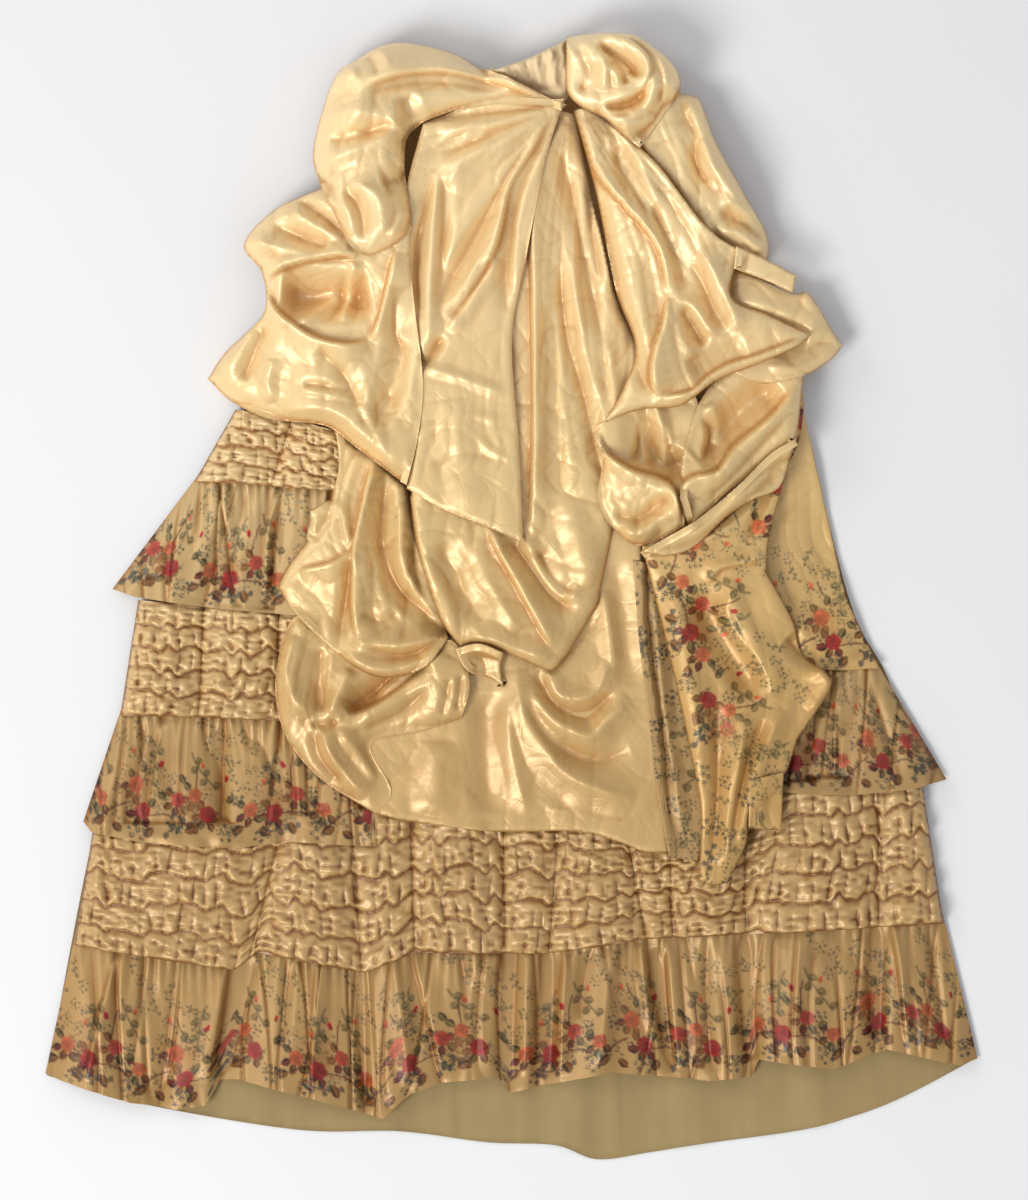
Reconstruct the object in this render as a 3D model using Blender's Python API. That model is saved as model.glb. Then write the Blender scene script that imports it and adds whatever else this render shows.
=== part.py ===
# Bustle dress laid flat: a foundation skirt with shirred tiers and satin drapery.
# The plan is in millimetres on the laying-out table, x to the right and y towards the hem.
# Each piece of cloth is a wall over a form worked out from its cut, its levels and its folds.

import bpy
import numpy as np
from mathutils import Vector
from mathutils.bvhtree import BVHTree
from mathutils.geometry import delaunay_2d_cdt

MM = 0.001
SEAM_GAP = 0.3
PANEL_THICKNESS = 1.6
FLOUNCE_THICKNESS = 1.5
SATIN_THICKNESS = 1.9
STEEPEST_THICKENING = 1.7
POINT_SPACING = 23.5
MOUND_SPACING = 42.0
MOUND_FLOOR = 2 * (PANEL_THICKNESS + SEAM_GAP)
MOUND_LEAST = MOUND_FLOOR + 5.0
CELL = 4.0
TABLE_LOW = (20.0, 10.0)
TABLE_HIGH = (1010.0, 1190.0)
PUFF_HEIGHT = 5.5
PUFF_SWING = 1.6
COLUMN_WIDTH = 16.0
PANEL_SPACING = 90.0
FLUTE_FULLNESS = 0.8
FLUTE_AT_TOP = 0.45
RIPPLE_AT_TOP = 0.6
RIPPLE_AT_HEM = 2.0
RAY_START = 1000.0
CEILING_START = 400.0
SETTLE_ROUNDS = 7
SETTLE_SHARE = 0.6
LONGEST_LOWERING = 16.0
SHORTEST_LOWERING = 0.1

# Cut of each piece: edges in order round it, each a smooth curve through its points.
CUT = (
    ("back_panel", "left seam", (426, 112), (335, 235), (243, 412), (152, 602), (94, 832), (47, 1075)),
    (
        "back_panel", "hem", (47, 1075), (130, 1101), (294, 1129), (400, 1131), (488, 1142), (556, 1145),
        (597, 1159), (650, 1152), (700, 1144), (800, 1130), (850, 1117), (889, 1103), (930, 1083),
        (976, 1058),
    ),
    (
        "back_panel", "right seam", (976, 1058), (940, 922), (895, 700), (850, 602), (797, 388),
        (764, 250), (688, 112),
    ),
    ("front_panel", "left seam", (432, 118), (341, 240), (250, 415), (160, 606), (104, 834), (62, 1046)),
    ("front_panel", "hem", (62, 1046), (250, 1060), (500, 1062), (700, 1048), (880, 1026), (958, 1030)),
    (
        "front_panel", "right seam", (958, 1030), (931, 922), (887, 704), (842, 604), (790, 390),
        (757, 254), (682, 118),
    ),
    (
        "right_side_panel", "side seam", (797, 392), (809, 439), (828, 521), (844, 592), (855, 619),
        (878, 668),
    ),
    ("right_side_panel", "lower edge", (878, 668), (831, 670), (790, 664)),
    ("right_side_panel", "inner edge", (790, 664), (768, 600), (758, 545), (775, 470), (797, 392)),
    ("apron_hem_panel", "top", (425, 652), (520, 590), (590, 520), (642, 516)),
    (
        "apron_hem_panel", "opening", (642, 516), (640, 590), (646, 660), (655, 721), (661, 790),
        (668, 850),
    ),
    (
        "apron_hem_panel", "hem", (668, 850), (643, 850), (617, 840), (577, 830), (494, 830),
        (411, 820), (376, 812),
    ),
    ("apron_hem_panel", "left edge", (376, 812), (352, 765), (385, 700), (425, 652)),
    ("facing_strip", "top", (632, 560), (665, 566)),
    ("facing_strip", "drape side", (665, 566), (684, 640), (700, 720), (710, 800), (697, 859)),
    ("facing_strip", "hem", (697, 859), (668, 856)),
    ("facing_strip", "opening side", (668, 856), (656, 790), (648, 721), (638, 640), (632, 560)),
    ("floral_drape", "top", (642, 552), (694, 540), (745, 500), (786, 452), (797, 400)),
    ("floral_drape", "upper right", (797, 400), (799, 425), (782, 483), (767, 538), (764, 572)),
    (
        "floral_drape", "right edge", (764, 572), (790, 620), (800, 653), (824, 673), (826, 691),
        (795, 738),
    ),
    (
        "floral_drape", "lower right", (795, 738), (784, 769), (764, 789), (748, 809), (744, 842),
        (726, 880),
    ),
    ("floral_drape", "tip", (726, 880), (710, 883), (697, 878)),
    (
        "floral_drape", "left edge", (697, 878), (699, 809), (686, 738), (670, 664), (652, 590),
        (642, 552),
    ),
    ("square_flap", "outline", (746, 780), (781, 770), (779, 828), (746, 824)),
    ("left_swag", "hem over the band", (336, 424), (357, 447), (379, 457), (388, 471), (407, 487)),
    ("left_swag", "loop side", (407, 487), (420, 544), (444, 610), (449, 638)),
    (
        "left_swag", "roll", (449, 638), (430, 663), (405, 675), (374, 675), (339, 653), (296, 612),
        (279, 587),
    ),
    ("left_swag", "left side", (279, 587), (287, 568), (328, 532), (308, 518), (332, 500), (336, 424)),
    (
        "lower_left_loop", "outer edge", (339, 636), (296, 617), (277, 680), (287, 735), (322, 778),
        (376, 812),
    ),
    ("lower_left_loop", "lower edge", (376, 812), (392, 790), (372, 744), (419, 731), (462, 718)),
    ("lower_left_loop", "inner edge", (462, 718), (470, 680), (452, 640), (410, 655), (339, 636)),
    (
        "centre_drape", "right side", (575, 117), (592, 200), (616, 300), (640, 360), (634, 430),
        (613, 527), (597, 604),
    ),
    (
        "centre_drape", "roll", (597, 604), (577, 638), (562, 660), (548, 670), (514, 655), (478, 643),
        (461, 646),
    ),
    ("centre_drape", "left side", (461, 646), (444, 624), (430, 587), (417, 544), (411, 498)),
    (
        "centre_drape", "under the fan", (411, 498), (430, 472), (500, 452), (500, 340), (515, 250),
        (558, 114),
    ),
    ("cuff_flap", "outline", (458, 636), (503, 642), (501, 688), (463, 683)),
    (
        "swag_left", "lip", (613, 418), (596, 429), (593, 443), (602, 460), (596, 500), (613, 530),
        (640, 546), (682, 529),
    ),
    ("swag_left", "inner edge", (682, 529), (684, 500), (700, 440), (688, 390), (648, 390), (613, 418)),
    (
        "swag_right", "lip", (677, 500), (690, 527), (719, 498), (742, 479), (767, 458), (792, 440),
        (801, 380),
    ),
    ("swag_right", "inner edge", (801, 380), (760, 360), (706, 392), (682, 450), (677, 500)),
    ("sash_band", "upper edge", (656, 543), (694, 521), (732, 490), (767, 456), (793, 440)),
    (
        "sash_band", "lower edge", (793, 440), (778, 487), (751, 500), (723, 519), (694, 546),
        (667, 556), (638, 553),
    ),
    ("sash_band", "tip", (638, 553), (656, 543)),
    ("right_wing", "upper edge", (712, 286), (732, 273), (789, 295), (807, 297), (832, 335), (841, 347)),
    ("right_wing", "lower edge", (841, 347), (828, 362), (801, 378), (759, 386), (724, 372)),
    ("right_wing", "inner edge", (724, 372), (704, 330), (712, 286)),
    (
        "right_back_piece", "outer edge", (679, 96), (699, 103), (715, 144), (744, 197), (764, 230),
        (769, 250),
    ),
    ("right_back_piece", "lower edge", (769, 250), (764, 264), (740, 266), (712, 250)),
    ("right_back_piece", "inner edge", (712, 250), (671, 190), (640, 150), (652, 120), (679, 96)),
    (
        "right_drape", "waist side", (573, 115), (590, 116), (618, 137), (654, 169), (701, 230),
        (738, 256),
    ),
    ("right_drape", "wing side", (738, 256), (728, 300), (765, 318), (808, 338)),
    (
        "right_drape", "roll", (808, 338), (790, 352), (753, 368), (713, 384), (679, 408), (640, 412),
        (603, 424),
    ),
    (
        "right_drape", "centre side", (603, 424), (622, 390), (634, 350), (614, 290), (596, 200),
        (573, 115),
    ),
    ("flap_band", "outline", (735, 250), (794, 280), (789, 296), (731, 271)),
    ("waistband", "back edge", (486, 76), (505, 70), (533, 60), (566, 44)),
    ("waistband", "front edge", (566, 44), (570, 80), (563, 106), (530, 96), (486, 76)),
    (
        "knot", "outer edge", (566, 42), (601, 38), (630, 40), (650, 50), (673, 71), (679, 95),
        (662, 122), (638, 155),
    ),
    (
        "knot", "inner edge", (638, 155), (616, 138), (600, 124), (579, 114), (566, 99), (565, 71),
        (566, 42),
    ),
    ("front_fan", "waist", (562, 110), (520, 104), (470, 112), (424, 130)),
    ("front_fan", "left edge", (424, 130), (408, 192), (398, 269), (396, 304), (400, 334)),
    ("front_fan", "lappet side", (400, 334), (422, 362), (418, 392), (412, 470), (408, 490)),
    ("front_fan", "lappet hem", (408, 490), (442, 510), (485, 527), (523, 544)),
    (
        "front_fan", "centre valley", (523, 544), (519, 450), (512, 340), (526, 262), (544, 170),
        (562, 110),
    ),
    (
        "puff_upper_left", "outer edge", (487, 75), (449, 53), (395, 45), (357, 63), (334, 84),
        (314, 153), (324, 193),
    ),
    (
        "puff_upper_left", "lower edge", (324, 193), (338, 222), (353, 252), (372, 261), (395, 252),
        (412, 238),
    ),
    (
        "puff_upper_left", "fan side", (412, 238), (412, 214), (406, 170), (416, 134), (480, 112),
        (566, 113),
    ),
    ("puff_upper_left", "waist edge", (566, 113), (530, 95), (487, 75)),
    (
        "puff_lower_left", "top", (324, 192), (277, 212), (246, 247), (264, 276), (265, 316),
        (226, 352), (208, 379),
    ),
    (
        "puff_lower_left", "lower edge", (208, 379), (231, 401), (271, 420), (326, 427), (359, 450),
        (394, 473), (408, 487),
    ),
    (
        "puff_lower_left", "right side", (408, 487), (392, 440), (388, 380), (406, 312), (408, 270),
        (414, 230),
    ),
    ("puff_lower_left", "under the puff", (414, 230), (400, 205), (360, 190), (324, 192)),
    (
        "hidden_layers", "left side", (450, 92), (350, 120), (345, 235), (290, 335), (305, 395),
        (354, 425),
    ),
    (
        "hidden_layers", "lower left", (354, 425), (358, 560), (358, 640), (384, 715), (388, 776),
        (440, 786),
    ),
    (
        "hidden_layers", "lower edge", (440, 786), (640, 786), (735, 770), (748, 640), (752, 540),
        (770, 440),
    ),
    (
        "hidden_layers", "right side", (770, 440), (785, 370), (800, 345), (740, 230), (690, 130),
        (640, 80), (450, 92),
    ),
)

# Height of each piece above the table at a few places, in millimetres.
LEVELS = (
    ("right_side_panel", (845, 520, 5), (870, 660, 8), (790, 480, 14), (780, 620, 18)),
    ("apron_hem_panel", (400, 812, 26), (520, 830, 26), (650, 840, 30), (520, 700, 34), (640, 620, 32)),
    ("facing_strip", (640, 600, 22), (660, 720, 22), (690, 850, 26)),
    (
        "floral_drape", (650, 570, 40), (690, 720, 44), (705, 870, 38), (760, 760, 42), (815, 680, 34),
        (795, 420, 22),
    ),
    ("square_flap", (760, 800, 40)),
    (
        "left_swag", (400, 480, 34), (350, 450, 26), (350, 560, 42), (292, 588, 30), (380, 655, 44),
        (430, 600, 36),
    ),
    (
        "lower_left_loop", (290, 680, 34), (300, 740, 36), (370, 800, 30), (440, 690, 50),
        (395, 690, 30), (330, 720, 40),
    ),
    (
        "centre_drape", (568, 130, 36), (560, 350, 40), (560, 470, 46), (430, 520, 48), (500, 640, 54),
        (600, 560, 44),
    ),
    ("cuff_flap", (480, 640, 46), (480, 688, 40)),
    ("swag_left", (610, 520, 48), (640, 540, 52), (598, 445, 52), (660, 420, 40), (676, 500, 56)),
    ("swag_right", (690, 520, 52), (720, 480, 60), (770, 430, 54), (795, 395, 44), (720, 410, 40)),
    ("sash_band", (650, 548, 46), (720, 505, 50), (785, 455, 34)),
    ("right_wing", (725, 290, 40), (795, 305, 38), (838, 348, 30), (770, 380, 44)),
    ("right_back_piece", (690, 115, 52), (722, 180, 58), (758, 245, 44), (680, 190, 52)),
    (
        "right_drape", (580, 125, 48), (650, 230, 58), (620, 300, 48), (660, 370, 62), (710, 330, 52),
        (795, 345, 54),
    ),
    ("flap_band", (760, 270, 48)),
    ("waistband", (500, 76, 30), (555, 60, 36), (540, 95, 26)),
    ("knot", (600, 55, 88), (655, 80, 84), (580, 90, 72), (640, 130, 72)),
    (
        "front_fan", (552, 120, 50), (440, 150, 38), (430, 300, 42), (500, 300, 50), (450, 400, 52),
        (510, 530, 58),
    ),
    (
        "puff_upper_left", (450, 75, 66), (365, 90, 82), (335, 150, 76), (375, 200, 84), (400, 235, 80),
        (550, 108, 60),
    ),
    (
        "puff_lower_left", (290, 220, 56), (265, 255, 58), (220, 376, 26), (265, 405, 36),
        (330, 415, 52), (395, 460, 58),
    ),
    ("puff_lower_left", (340, 250, 66), (395, 245, 66), (330, 380, 58), (392, 350, 56)),
)

# Edge of each piece: how far it rolls in, and how far it drops there.
EDGE_ROLLS = {
    "right_side_panel": (14, 2),
    "apron_hem_panel": (14, 3),
    "facing_strip": (8, 1),
    "floral_drape": (18, 8),
    "square_flap": (8, 2),
    "left_swag": (22, 14),
    "lower_left_loop": (24, 16),
    "centre_drape": (24, 16),
    "cuff_flap": (8, 3),
    "swag_left": (24, 18),
    "swag_right": (20, 16),
    "sash_band": (10, 5),
    "right_wing": (18, 16),
    "right_back_piece": (28, 40),
    "right_drape": (20, 14),
    "flap_band": (8, 3),
    "waistband": (10, 22),
    "knot": (34, 58),
    "front_fan": (14, 7),
    "puff_upper_left": (44, 62),
    "puff_lower_left": (30, 34),
    "hidden_layers": (30, 16),
}

# Folds: piece, name, start, middle, end, rise (below nought for a valley), half width.
FOLDS = (
    ("apron_hem_panel", "left valley", (485, 700), (486, 760), (491, 815), -7, 22),
    ("apron_hem_panel", "first ridge", (517, 666), (543, 743), (637, 798), 11, 16),
    ("apron_hem_panel", "second ridge", (526, 680), (565, 728), (632, 698), 11, 15),
    ("apron_hem_panel", "third ridge", (546, 660), (575, 694), (609, 650), 9, 13),
    ("apron_hem_panel", "hem wave", (440, 740), (436, 790), (430, 815), 6, 24),
    ("floral_drape", "broad valley", (706, 575), (728, 640), (755, 697), -14, 22),
    ("floral_drape", "inner ridge", (740, 575), (736, 640), (768, 700), 12, 17),
    ("floral_drape", "left ridge", (672, 590), (690, 690), (716, 800), 9, 18),
    ("floral_drape", "centre trough", (712, 720), (722, 780), (716, 850), -8, 14),
    ("floral_drape", "right ridge", (790, 690), (756, 770), (728, 860), 10, 18),
    ("floral_drape", "notch hollow", (790, 640), (802, 656), (818, 668), -14, 12),
    ("floral_drape", "strip ridge", (786, 430), (774, 480), (748, 530), 7, 12),
    ("left_swag", "first ridge", (372, 461), (360, 520), (340, 640), 12, 15),
    ("left_swag", "first valley", (386, 478), (384, 550), (374, 640), -10, 14),
    ("left_swag", "second ridge", (402, 500), (404, 580), (400, 655), 10, 15),
    ("left_swag", "third ridge", (424, 560), (432, 610), (425, 650), 8, 10),
    ("left_swag", "triangle ridge", (287, 575), (320, 562), (354, 552), 8, 14),
    ("left_swag", "lower roll", (345, 648), (390, 664), (440, 646), 9, 13),
    ("lower_left_loop", "outer roll", (306, 640), (292, 690), (318, 758), 12, 18),
    ("lower_left_loop", "gather crease", (322, 722), (308, 690), (318, 655), -8, 12),
    ("lower_left_loop", "band fold", (350, 722), (400, 712), (456, 668), 14, 18),
    ("lower_left_loop", "hollow", (362, 690), (395, 676), (425, 664), -16, 15),
    ("lower_left_loop", "hem ridge", (330, 735), (345, 770), (370, 795), 9, 14),
    ("centre_drape", "ridge by the valley", (563, 126), (535, 243), (536, 416), 10, 12),
    ("centre_drape", "waist valley", (567, 150), (580, 240), (596, 330), -11, 12),
    ("centre_drape", "long crease", (562, 273), (566, 350), (590, 430), -6, 9),
    ("centre_drape", "tongue", (597, 180), (598, 240), (607, 300), 9, 11),
    ("centre_drape", "lower fold", (604, 340), (616, 400), (606, 470), 8, 11),
    ("centre_drape", "first sweep", (428, 500), (440, 570), (475, 630), 10, 14),
    ("centre_drape", "second sweep", (470, 525), (510, 590), (545, 645), 12, 16),
    ("centre_drape", "second trough", (492, 530), (540, 600), (565, 640), -10, 12),
    ("centre_drape", "third sweep", (520, 530), (555, 585), (590, 600), 11, 13),
    ("centre_drape", "hollow", (538, 545), (560, 580), (580, 592), -12, 10),
    ("centre_drape", "bottom roll", (470, 632), (520, 645), (565, 640), 9, 14),
    ("swag_left", "lip roll", (606, 430), (612, 470), (668, 492), 12, 14),
    ("swag_left", "lower roll", (606, 500), (635, 532), (676, 520), 9, 14),
    ("swag_left", "trough", (615, 478), (640, 505), (672, 508), -10, 11),
    ("swag_right", "lip roll", (686, 500), (735, 462), (790, 400), 11, 14),
    ("swag_right", "trough", (700, 472), (732, 436), (775, 405), -12, 12),
    ("sash_band", "crease", (665, 547), (722, 508), (780, 456), 5, 10),
    ("right_wing", "upper ridge", (730, 300), (775, 318), (826, 345), 7, 12),
    ("right_wing", "trough", (730, 325), (770, 345), (810, 358), -7, 12),
    ("right_back_piece", "outer ridge", (684, 112), (702, 165), (752, 240), 9, 14),
    ("right_back_piece", "inner trough", (672, 128), (690, 185), (725, 240), -9, 11),
    ("right_drape", "great roll", (585, 128), (650, 240), (660, 350), 17, 24),
    ("right_drape", "roll to the tip", (656, 352), (690, 398), (798, 345), 15, 18),
    ("right_drape", "upper ridge", (600, 128), (650, 190), (684, 262), 9, 12),
    ("right_drape", "upper trough", (625, 155), (668, 205), (700, 262), -9, 11),
    ("right_drape", "wing ridge", (660, 180), (700, 240), (728, 310), 8, 12),
    ("right_drape", "hollow", (690, 290), (700, 330), (730, 350), -12, 18),
    ("right_drape", "centre trough", (604, 210), (622, 300), (632, 380), -9, 11),
    ("waistband", "gather", (512, 74), (518, 84), (522, 92), 4, 7),
    ("waistband", "second gather", (544, 62), (548, 78), (552, 94), 4, 7),
    ("knot", "rim loop", (590, 54), (640, 62), (612, 108), 11, 14),
    ("knot", "hollow", (604, 64), (618, 72), (628, 84), -16, 13),
    ("knot", "lower loop", (594, 118), (620, 128), (650, 106), 9, 12),
    ("knot", "outer ridge", (650, 60), (668, 90), (650, 125), 9, 12),
    ("knot", "left trough", (578, 60), (580, 84), (584, 106), -8, 9),
    ("front_fan", "broad ridge", (543, 120), (502, 167), (440, 238), 12, 22),
    ("front_fan", "second ridge", (551, 126), (500, 210), (444, 318), 11, 16),
    ("front_fan", "dark crease", (541, 141), (505, 222), (452, 326), -9, 10),
    ("front_fan", "third ridge", (548, 150), (515, 250), (478, 400), 9, 17),
    ("front_fan", "valley by the lappet", (508, 300), (500, 380), (506, 470), -7, 12),
    ("front_fan", "left hollow", (440, 150), (436, 200), (430, 300), -8, 16),
    ("front_fan", "crease to the corner", (405, 349), (426, 358), (446, 337), -8, 10),
    ("front_fan", "pressed crease", (422, 369), (470, 386), (498, 390), 5, 11),
    ("front_fan", "lappet wave", (455, 400), (462, 460), (470, 515), 6, 18),
    ("puff_upper_left", "lip crease", (366, 93), (431, 78), (545, 104), -9, 12),
    ("puff_upper_left", "upper roll", (362, 76), (420, 60), (478, 82), 8, 14),
    ("puff_upper_left", "cross ridge", (345, 150), (375, 165), (402, 158), 7, 16),
    ("puff_upper_left", "hollow", (365, 190), (388, 186), (404, 178), -12, 16),
    ("puff_upper_left", "side ridge", (352, 110), (360, 170), (372, 235), 8, 15),
    ("puff_upper_left", "fan ridge", (395, 120), (420, 108), (500, 108), 7, 12),
    ("puff_lower_left", "upper lip", (268, 270), (340, 252), (410, 226), 15, 17),
    ("puff_lower_left", "pocket", (276, 288), (325, 290), (388, 268), -30, 20),
    ("puff_lower_left", "lower lip", (268, 290), (322, 345), (388, 300), 14, 17),
    ("puff_lower_left", "inner fold", (356, 275), (350, 300), (346, 330), 9, 11),
    ("puff_lower_left", "crease to the tip", (236, 372), (290, 392), (360, 405), -8, 14),
    ("puff_lower_left", "tip ridge", (222, 378), (262, 366), (300, 372), 8, 13),
    ("puff_lower_left", "bottom ridge", (280, 412), (340, 418), (392, 462), 8, 14),
    ("puff_lower_left", "side ridge", (398, 245), (396, 320), (378, 400), 8, 12),
)

# Tiers: piece, thickness, rows of puffs, rows of cloth and height at its top and at its lower edge.
TIERS = (
    ("lower_flounce", FLOUNCE_THICKNESS, 0, 4, 4, 3),
    ("lower_band", FLOUNCE_THICKNESS, 5, 10, 6, 6),
    ("middle_flounce_left", FLOUNCE_THICKNESS, 0, 3, 8, 16),
    ("middle_band_left", FLOUNCE_THICKNESS, 5, 10, 9, 9),
    ("upper_flounce_left", FLOUNCE_THICKNESS, 0, 3, 9, 16),
    ("upper_band_left", FLOUNCE_THICKNESS, 4, 8, 9, 9),
    ("middle_flounce_right", FLOUNCE_THICKNESS, 0, 3, 8, 16),
)

# Edges of each tier, drawn from left to right.
TIER_EDGES = {
    ("lower_flounce", "top"): (
        (77, 928), (235, 941), (365, 948), (503, 930), (640, 926), (751, 904), (940, 904),
    ),
    ("lower_flounce", "left hem"): (
        (46, 1073), (86, 1086), (133, 1101), (177, 1108), (206, 1104), (222, 1078),
    ),
    ("lower_flounce", "middle hem"): (
        (240, 1078), (312, 1096), (383, 1117), (411, 1092), (444, 1081), (498, 1076),
    ),
    ("lower_flounce", "right hem"): (
        (510, 1092), (544, 1084), (610, 1070), (709, 1079), (751, 1075), (758, 1058),
    ),
    ("lower_flounce", "corner hem"): ((832, 1067), (868, 1054), (886, 1048), (958, 1064), (977, 1058)),
    ("lower_band", "top"): (
        (95, 822), (240, 822), (376, 806), (500, 812), (640, 828), (700, 824), (790, 782), (920, 774),
    ),
    ("lower_band", "hem"): (
        (75, 944), (235, 969), (259, 951), (365, 972), (416, 951), (544, 953), (648, 938), (943, 923),
    ),
    ("middle_flounce_left", "top"): ((122, 708), (200, 713), (280, 716), (372, 722)),
    ("middle_flounce_left", "hem"): ((84, 821), (93, 831), (147, 841), (235, 847), (285, 840), (372, 845)),
    ("middle_band_left", "top"): ((139, 600), (200, 606), (270, 610), (352, 616)),
    ("middle_band_left", "hem"): ((121, 715), (200, 717), (276, 720), (352, 726)),
    ("upper_flounce_left", "top"): ((198, 476), (250, 480), (300, 484), (352, 490)),
    ("upper_flounce_left", "hem"): ((113, 589), (138, 597), (182, 604), (225, 609), (294, 615), (352, 618)),
    ("upper_band_left", "top"): ((236, 410), (270, 416), (310, 424), (350, 436)),
    ("upper_band_left", "hem"): ((195, 482), (250, 485), (300, 489), (350, 494)),
    ("middle_flounce_right", "top"): ((762, 662), (820, 660), (876, 662)),
    ("middle_flounce_right", "hem"): ((760, 789), (806, 793), (850, 794), (910, 788), (946, 779)),
}

# Deep valleys between the flutes of each tier: where each crosses the top edge and the hem.
FLUTE_VALLEYS = {
    "lower_band": (
        (285, 250), (352, 362), (411, 415), (503, 505), (559, 549), (625, 646), (669, 672), (743, 745), (877, 877),
    ),
    "lower_flounce": (
        (180, 160),
        (250, 220),
        (362, 365),
        (415, 442),
        (505, 510),
        (549, 544),
        (646, 656),
        (676, 690),
        (745, 752),
        (877, 874),
    ),
    "middle_flounce_left": ((163, 147), (225, 222), (295, 300)),
    "middle_band_left": ((205, 200), (280, 278)),
    "upper_flounce_left": ((240, 205), (283, 267)),
    "upper_band_left": ((292, 272),),
    "middle_flounce_right": ((812, 806), (838, 834)),
}
FLUTE_RISE = 0.15
FLUTE_LEAST = 3.0
FLUTE_MOST = 15.0

SATIN = (0.80, 0.60, 0.32)
PRINTED = (0.68, 0.54, 0.33)
LINING = (0.60, 0.47, 0.29)
STEEL = (0.16, 0.14, 0.12)

HOOKS = (
    ("hook_left", 541, 96),
    ("hook_right", 551, 92),
)
HOOK_WIDTH = 3.2
HOOK_START = 120.0
HOOK_SIDE = ((0, 0), (9, 0), (9, 3.0), (3, 3.4), (3, 2.2), (7.6, 1.8), (7.6, 1.2), (0, 1.2))


def smooth_curve(points, spacing):
    """Catmull-Rom curve through the points, cut into near-equal steps."""
    points = np.array(points, float)
    if len(points) == 2:
        count = max(1, round(np.linalg.norm(points[1] - points[0]) / spacing))
        along = np.linspace(0, 1, count + 1)[:, None]
        return points[0] * (1 - along) + points[1] * along
    before = np.vstack([2 * points[0] - points[1], points, 2 * points[-1] - points[-2]])
    t = np.linspace(0, 1, 12, endpoint=False)[:, None]
    spans = []
    for a, b, c, d in zip(before, before[1:], before[2:], before[3:]):
        spans.append(
            0.5 * (2 * b + (c - a) * t + (2 * a - 5 * b + 4 * c - d) * t**2 + (3 * b - a - 3 * c + d) * t**3)
        )
    fine = np.vstack(spans + [points[-1:]])
    length = np.concatenate([[0], np.cumsum(np.linalg.norm(np.diff(fine, axis=0), axis=1))])
    count = max(1, round(length[-1] / spacing))
    even = np.linspace(0, length[-1], count + 1)
    return np.column_stack([np.interp(even, length, fine[:, 0]), np.interp(even, length, fine[:, 1])])


def outline(piece, spacing):
    """The whole cut of a piece, without a repeated last point."""
    edges = [smooth_curve(row[2:], spacing) for row in CUT if row[0] == piece]
    loop = np.vstack([edge[:-1] for edge in edges])
    if np.linalg.norm(edges[-1][-1] - edges[0][0]) > 1:
        loop = np.vstack([loop, edges[-1][-1:]])
    return loop


def is_inside(points, loop):
    """Even-odd test of every point against the loop."""
    ends = np.roll(loop, -1, axis=0)
    crosses = (loop[None, :, 1] > points[:, None, 1]) != (ends[None, :, 1] > points[:, None, 1])
    rise = np.where(np.abs(ends[:, 1] - loop[:, 1]) < 1e-9, 1e-9, ends[:, 1] - loop[:, 1])
    at = loop[:, 0] + (points[:, None, 1] - loop[:, 1]) * (ends[:, 0] - loop[:, 0]) / rise
    return (crosses & (points[:, None, 0] < at)).sum(axis=1) % 2 == 1


def nearest_on(points, line):
    """Distance from each point to the line, and how far along it the nearest place is."""
    start = line[:-1]
    run = np.diff(line, axis=0)
    length = np.maximum(np.linalg.norm(run, axis=1), 1e-9)
    offset = points[:, None, :] - start[None]
    share = np.clip((offset * run).sum(axis=2) / length**2, 0, 1)
    distance = np.linalg.norm(offset - share[..., None] * run, axis=2)
    best = distance.argmin(axis=1)
    row = np.arange(len(points))
    before = np.concatenate([[0], np.cumsum(length)])
    along = (before[best] + share[row, best] * length[best]) / before[-1]
    return distance[row, best], along


def fold_rise(piece, points):
    """Ridges and valleys of a piece: near a crossing the larger one leads."""
    ridges = np.zeros(len(points))
    valleys = np.zeros(len(points))
    for row in FOLDS:
        if row[0] != piece:
            continue
        line = smooth_curve(row[2:5], 16)
        rise, half_width = row[5:]
        distance, along = nearest_on(points, line)
        share = np.clip(distance / half_width, 0, 1)
        across = (1 - share) ** 2 * (1 + 2 * share)
        ends = np.clip(np.minimum(along, 1 - along) / 0.18, 0.15, 1)
        height = abs(rise) * across * ends
        if rise > 0:
            ridges += height**3
        else:
            valleys += height**3
    return np.cbrt(ridges) - np.cbrt(valleys)


def level_at(piece, points):
    """Smooth height between the levels given for a piece."""
    spots = np.array([spot for row in LEVELS if row[0] == piece for spot in row[1:]], float)
    square = ((points[:, None, :] - spots[None, :, :2]) ** 2).sum(axis=2)
    weight = 1 / (square + 20.0**2) ** 1.3
    return (weight * spots[:, 2]).sum(axis=1) / weight.sum(axis=1)


def edge_drop(piece, points, loop):
    """Quarter-round drop where the cloth rolls over at its edge."""
    roll, drop = EDGE_ROLLS[piece]
    distance, _ = nearest_on(points, np.vstack([loop, loop[:1]]))
    near = 1 - np.clip(distance / roll, 0, 1)
    return drop * (1 - np.sqrt(np.maximum(0, 1 - near**2)))


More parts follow.
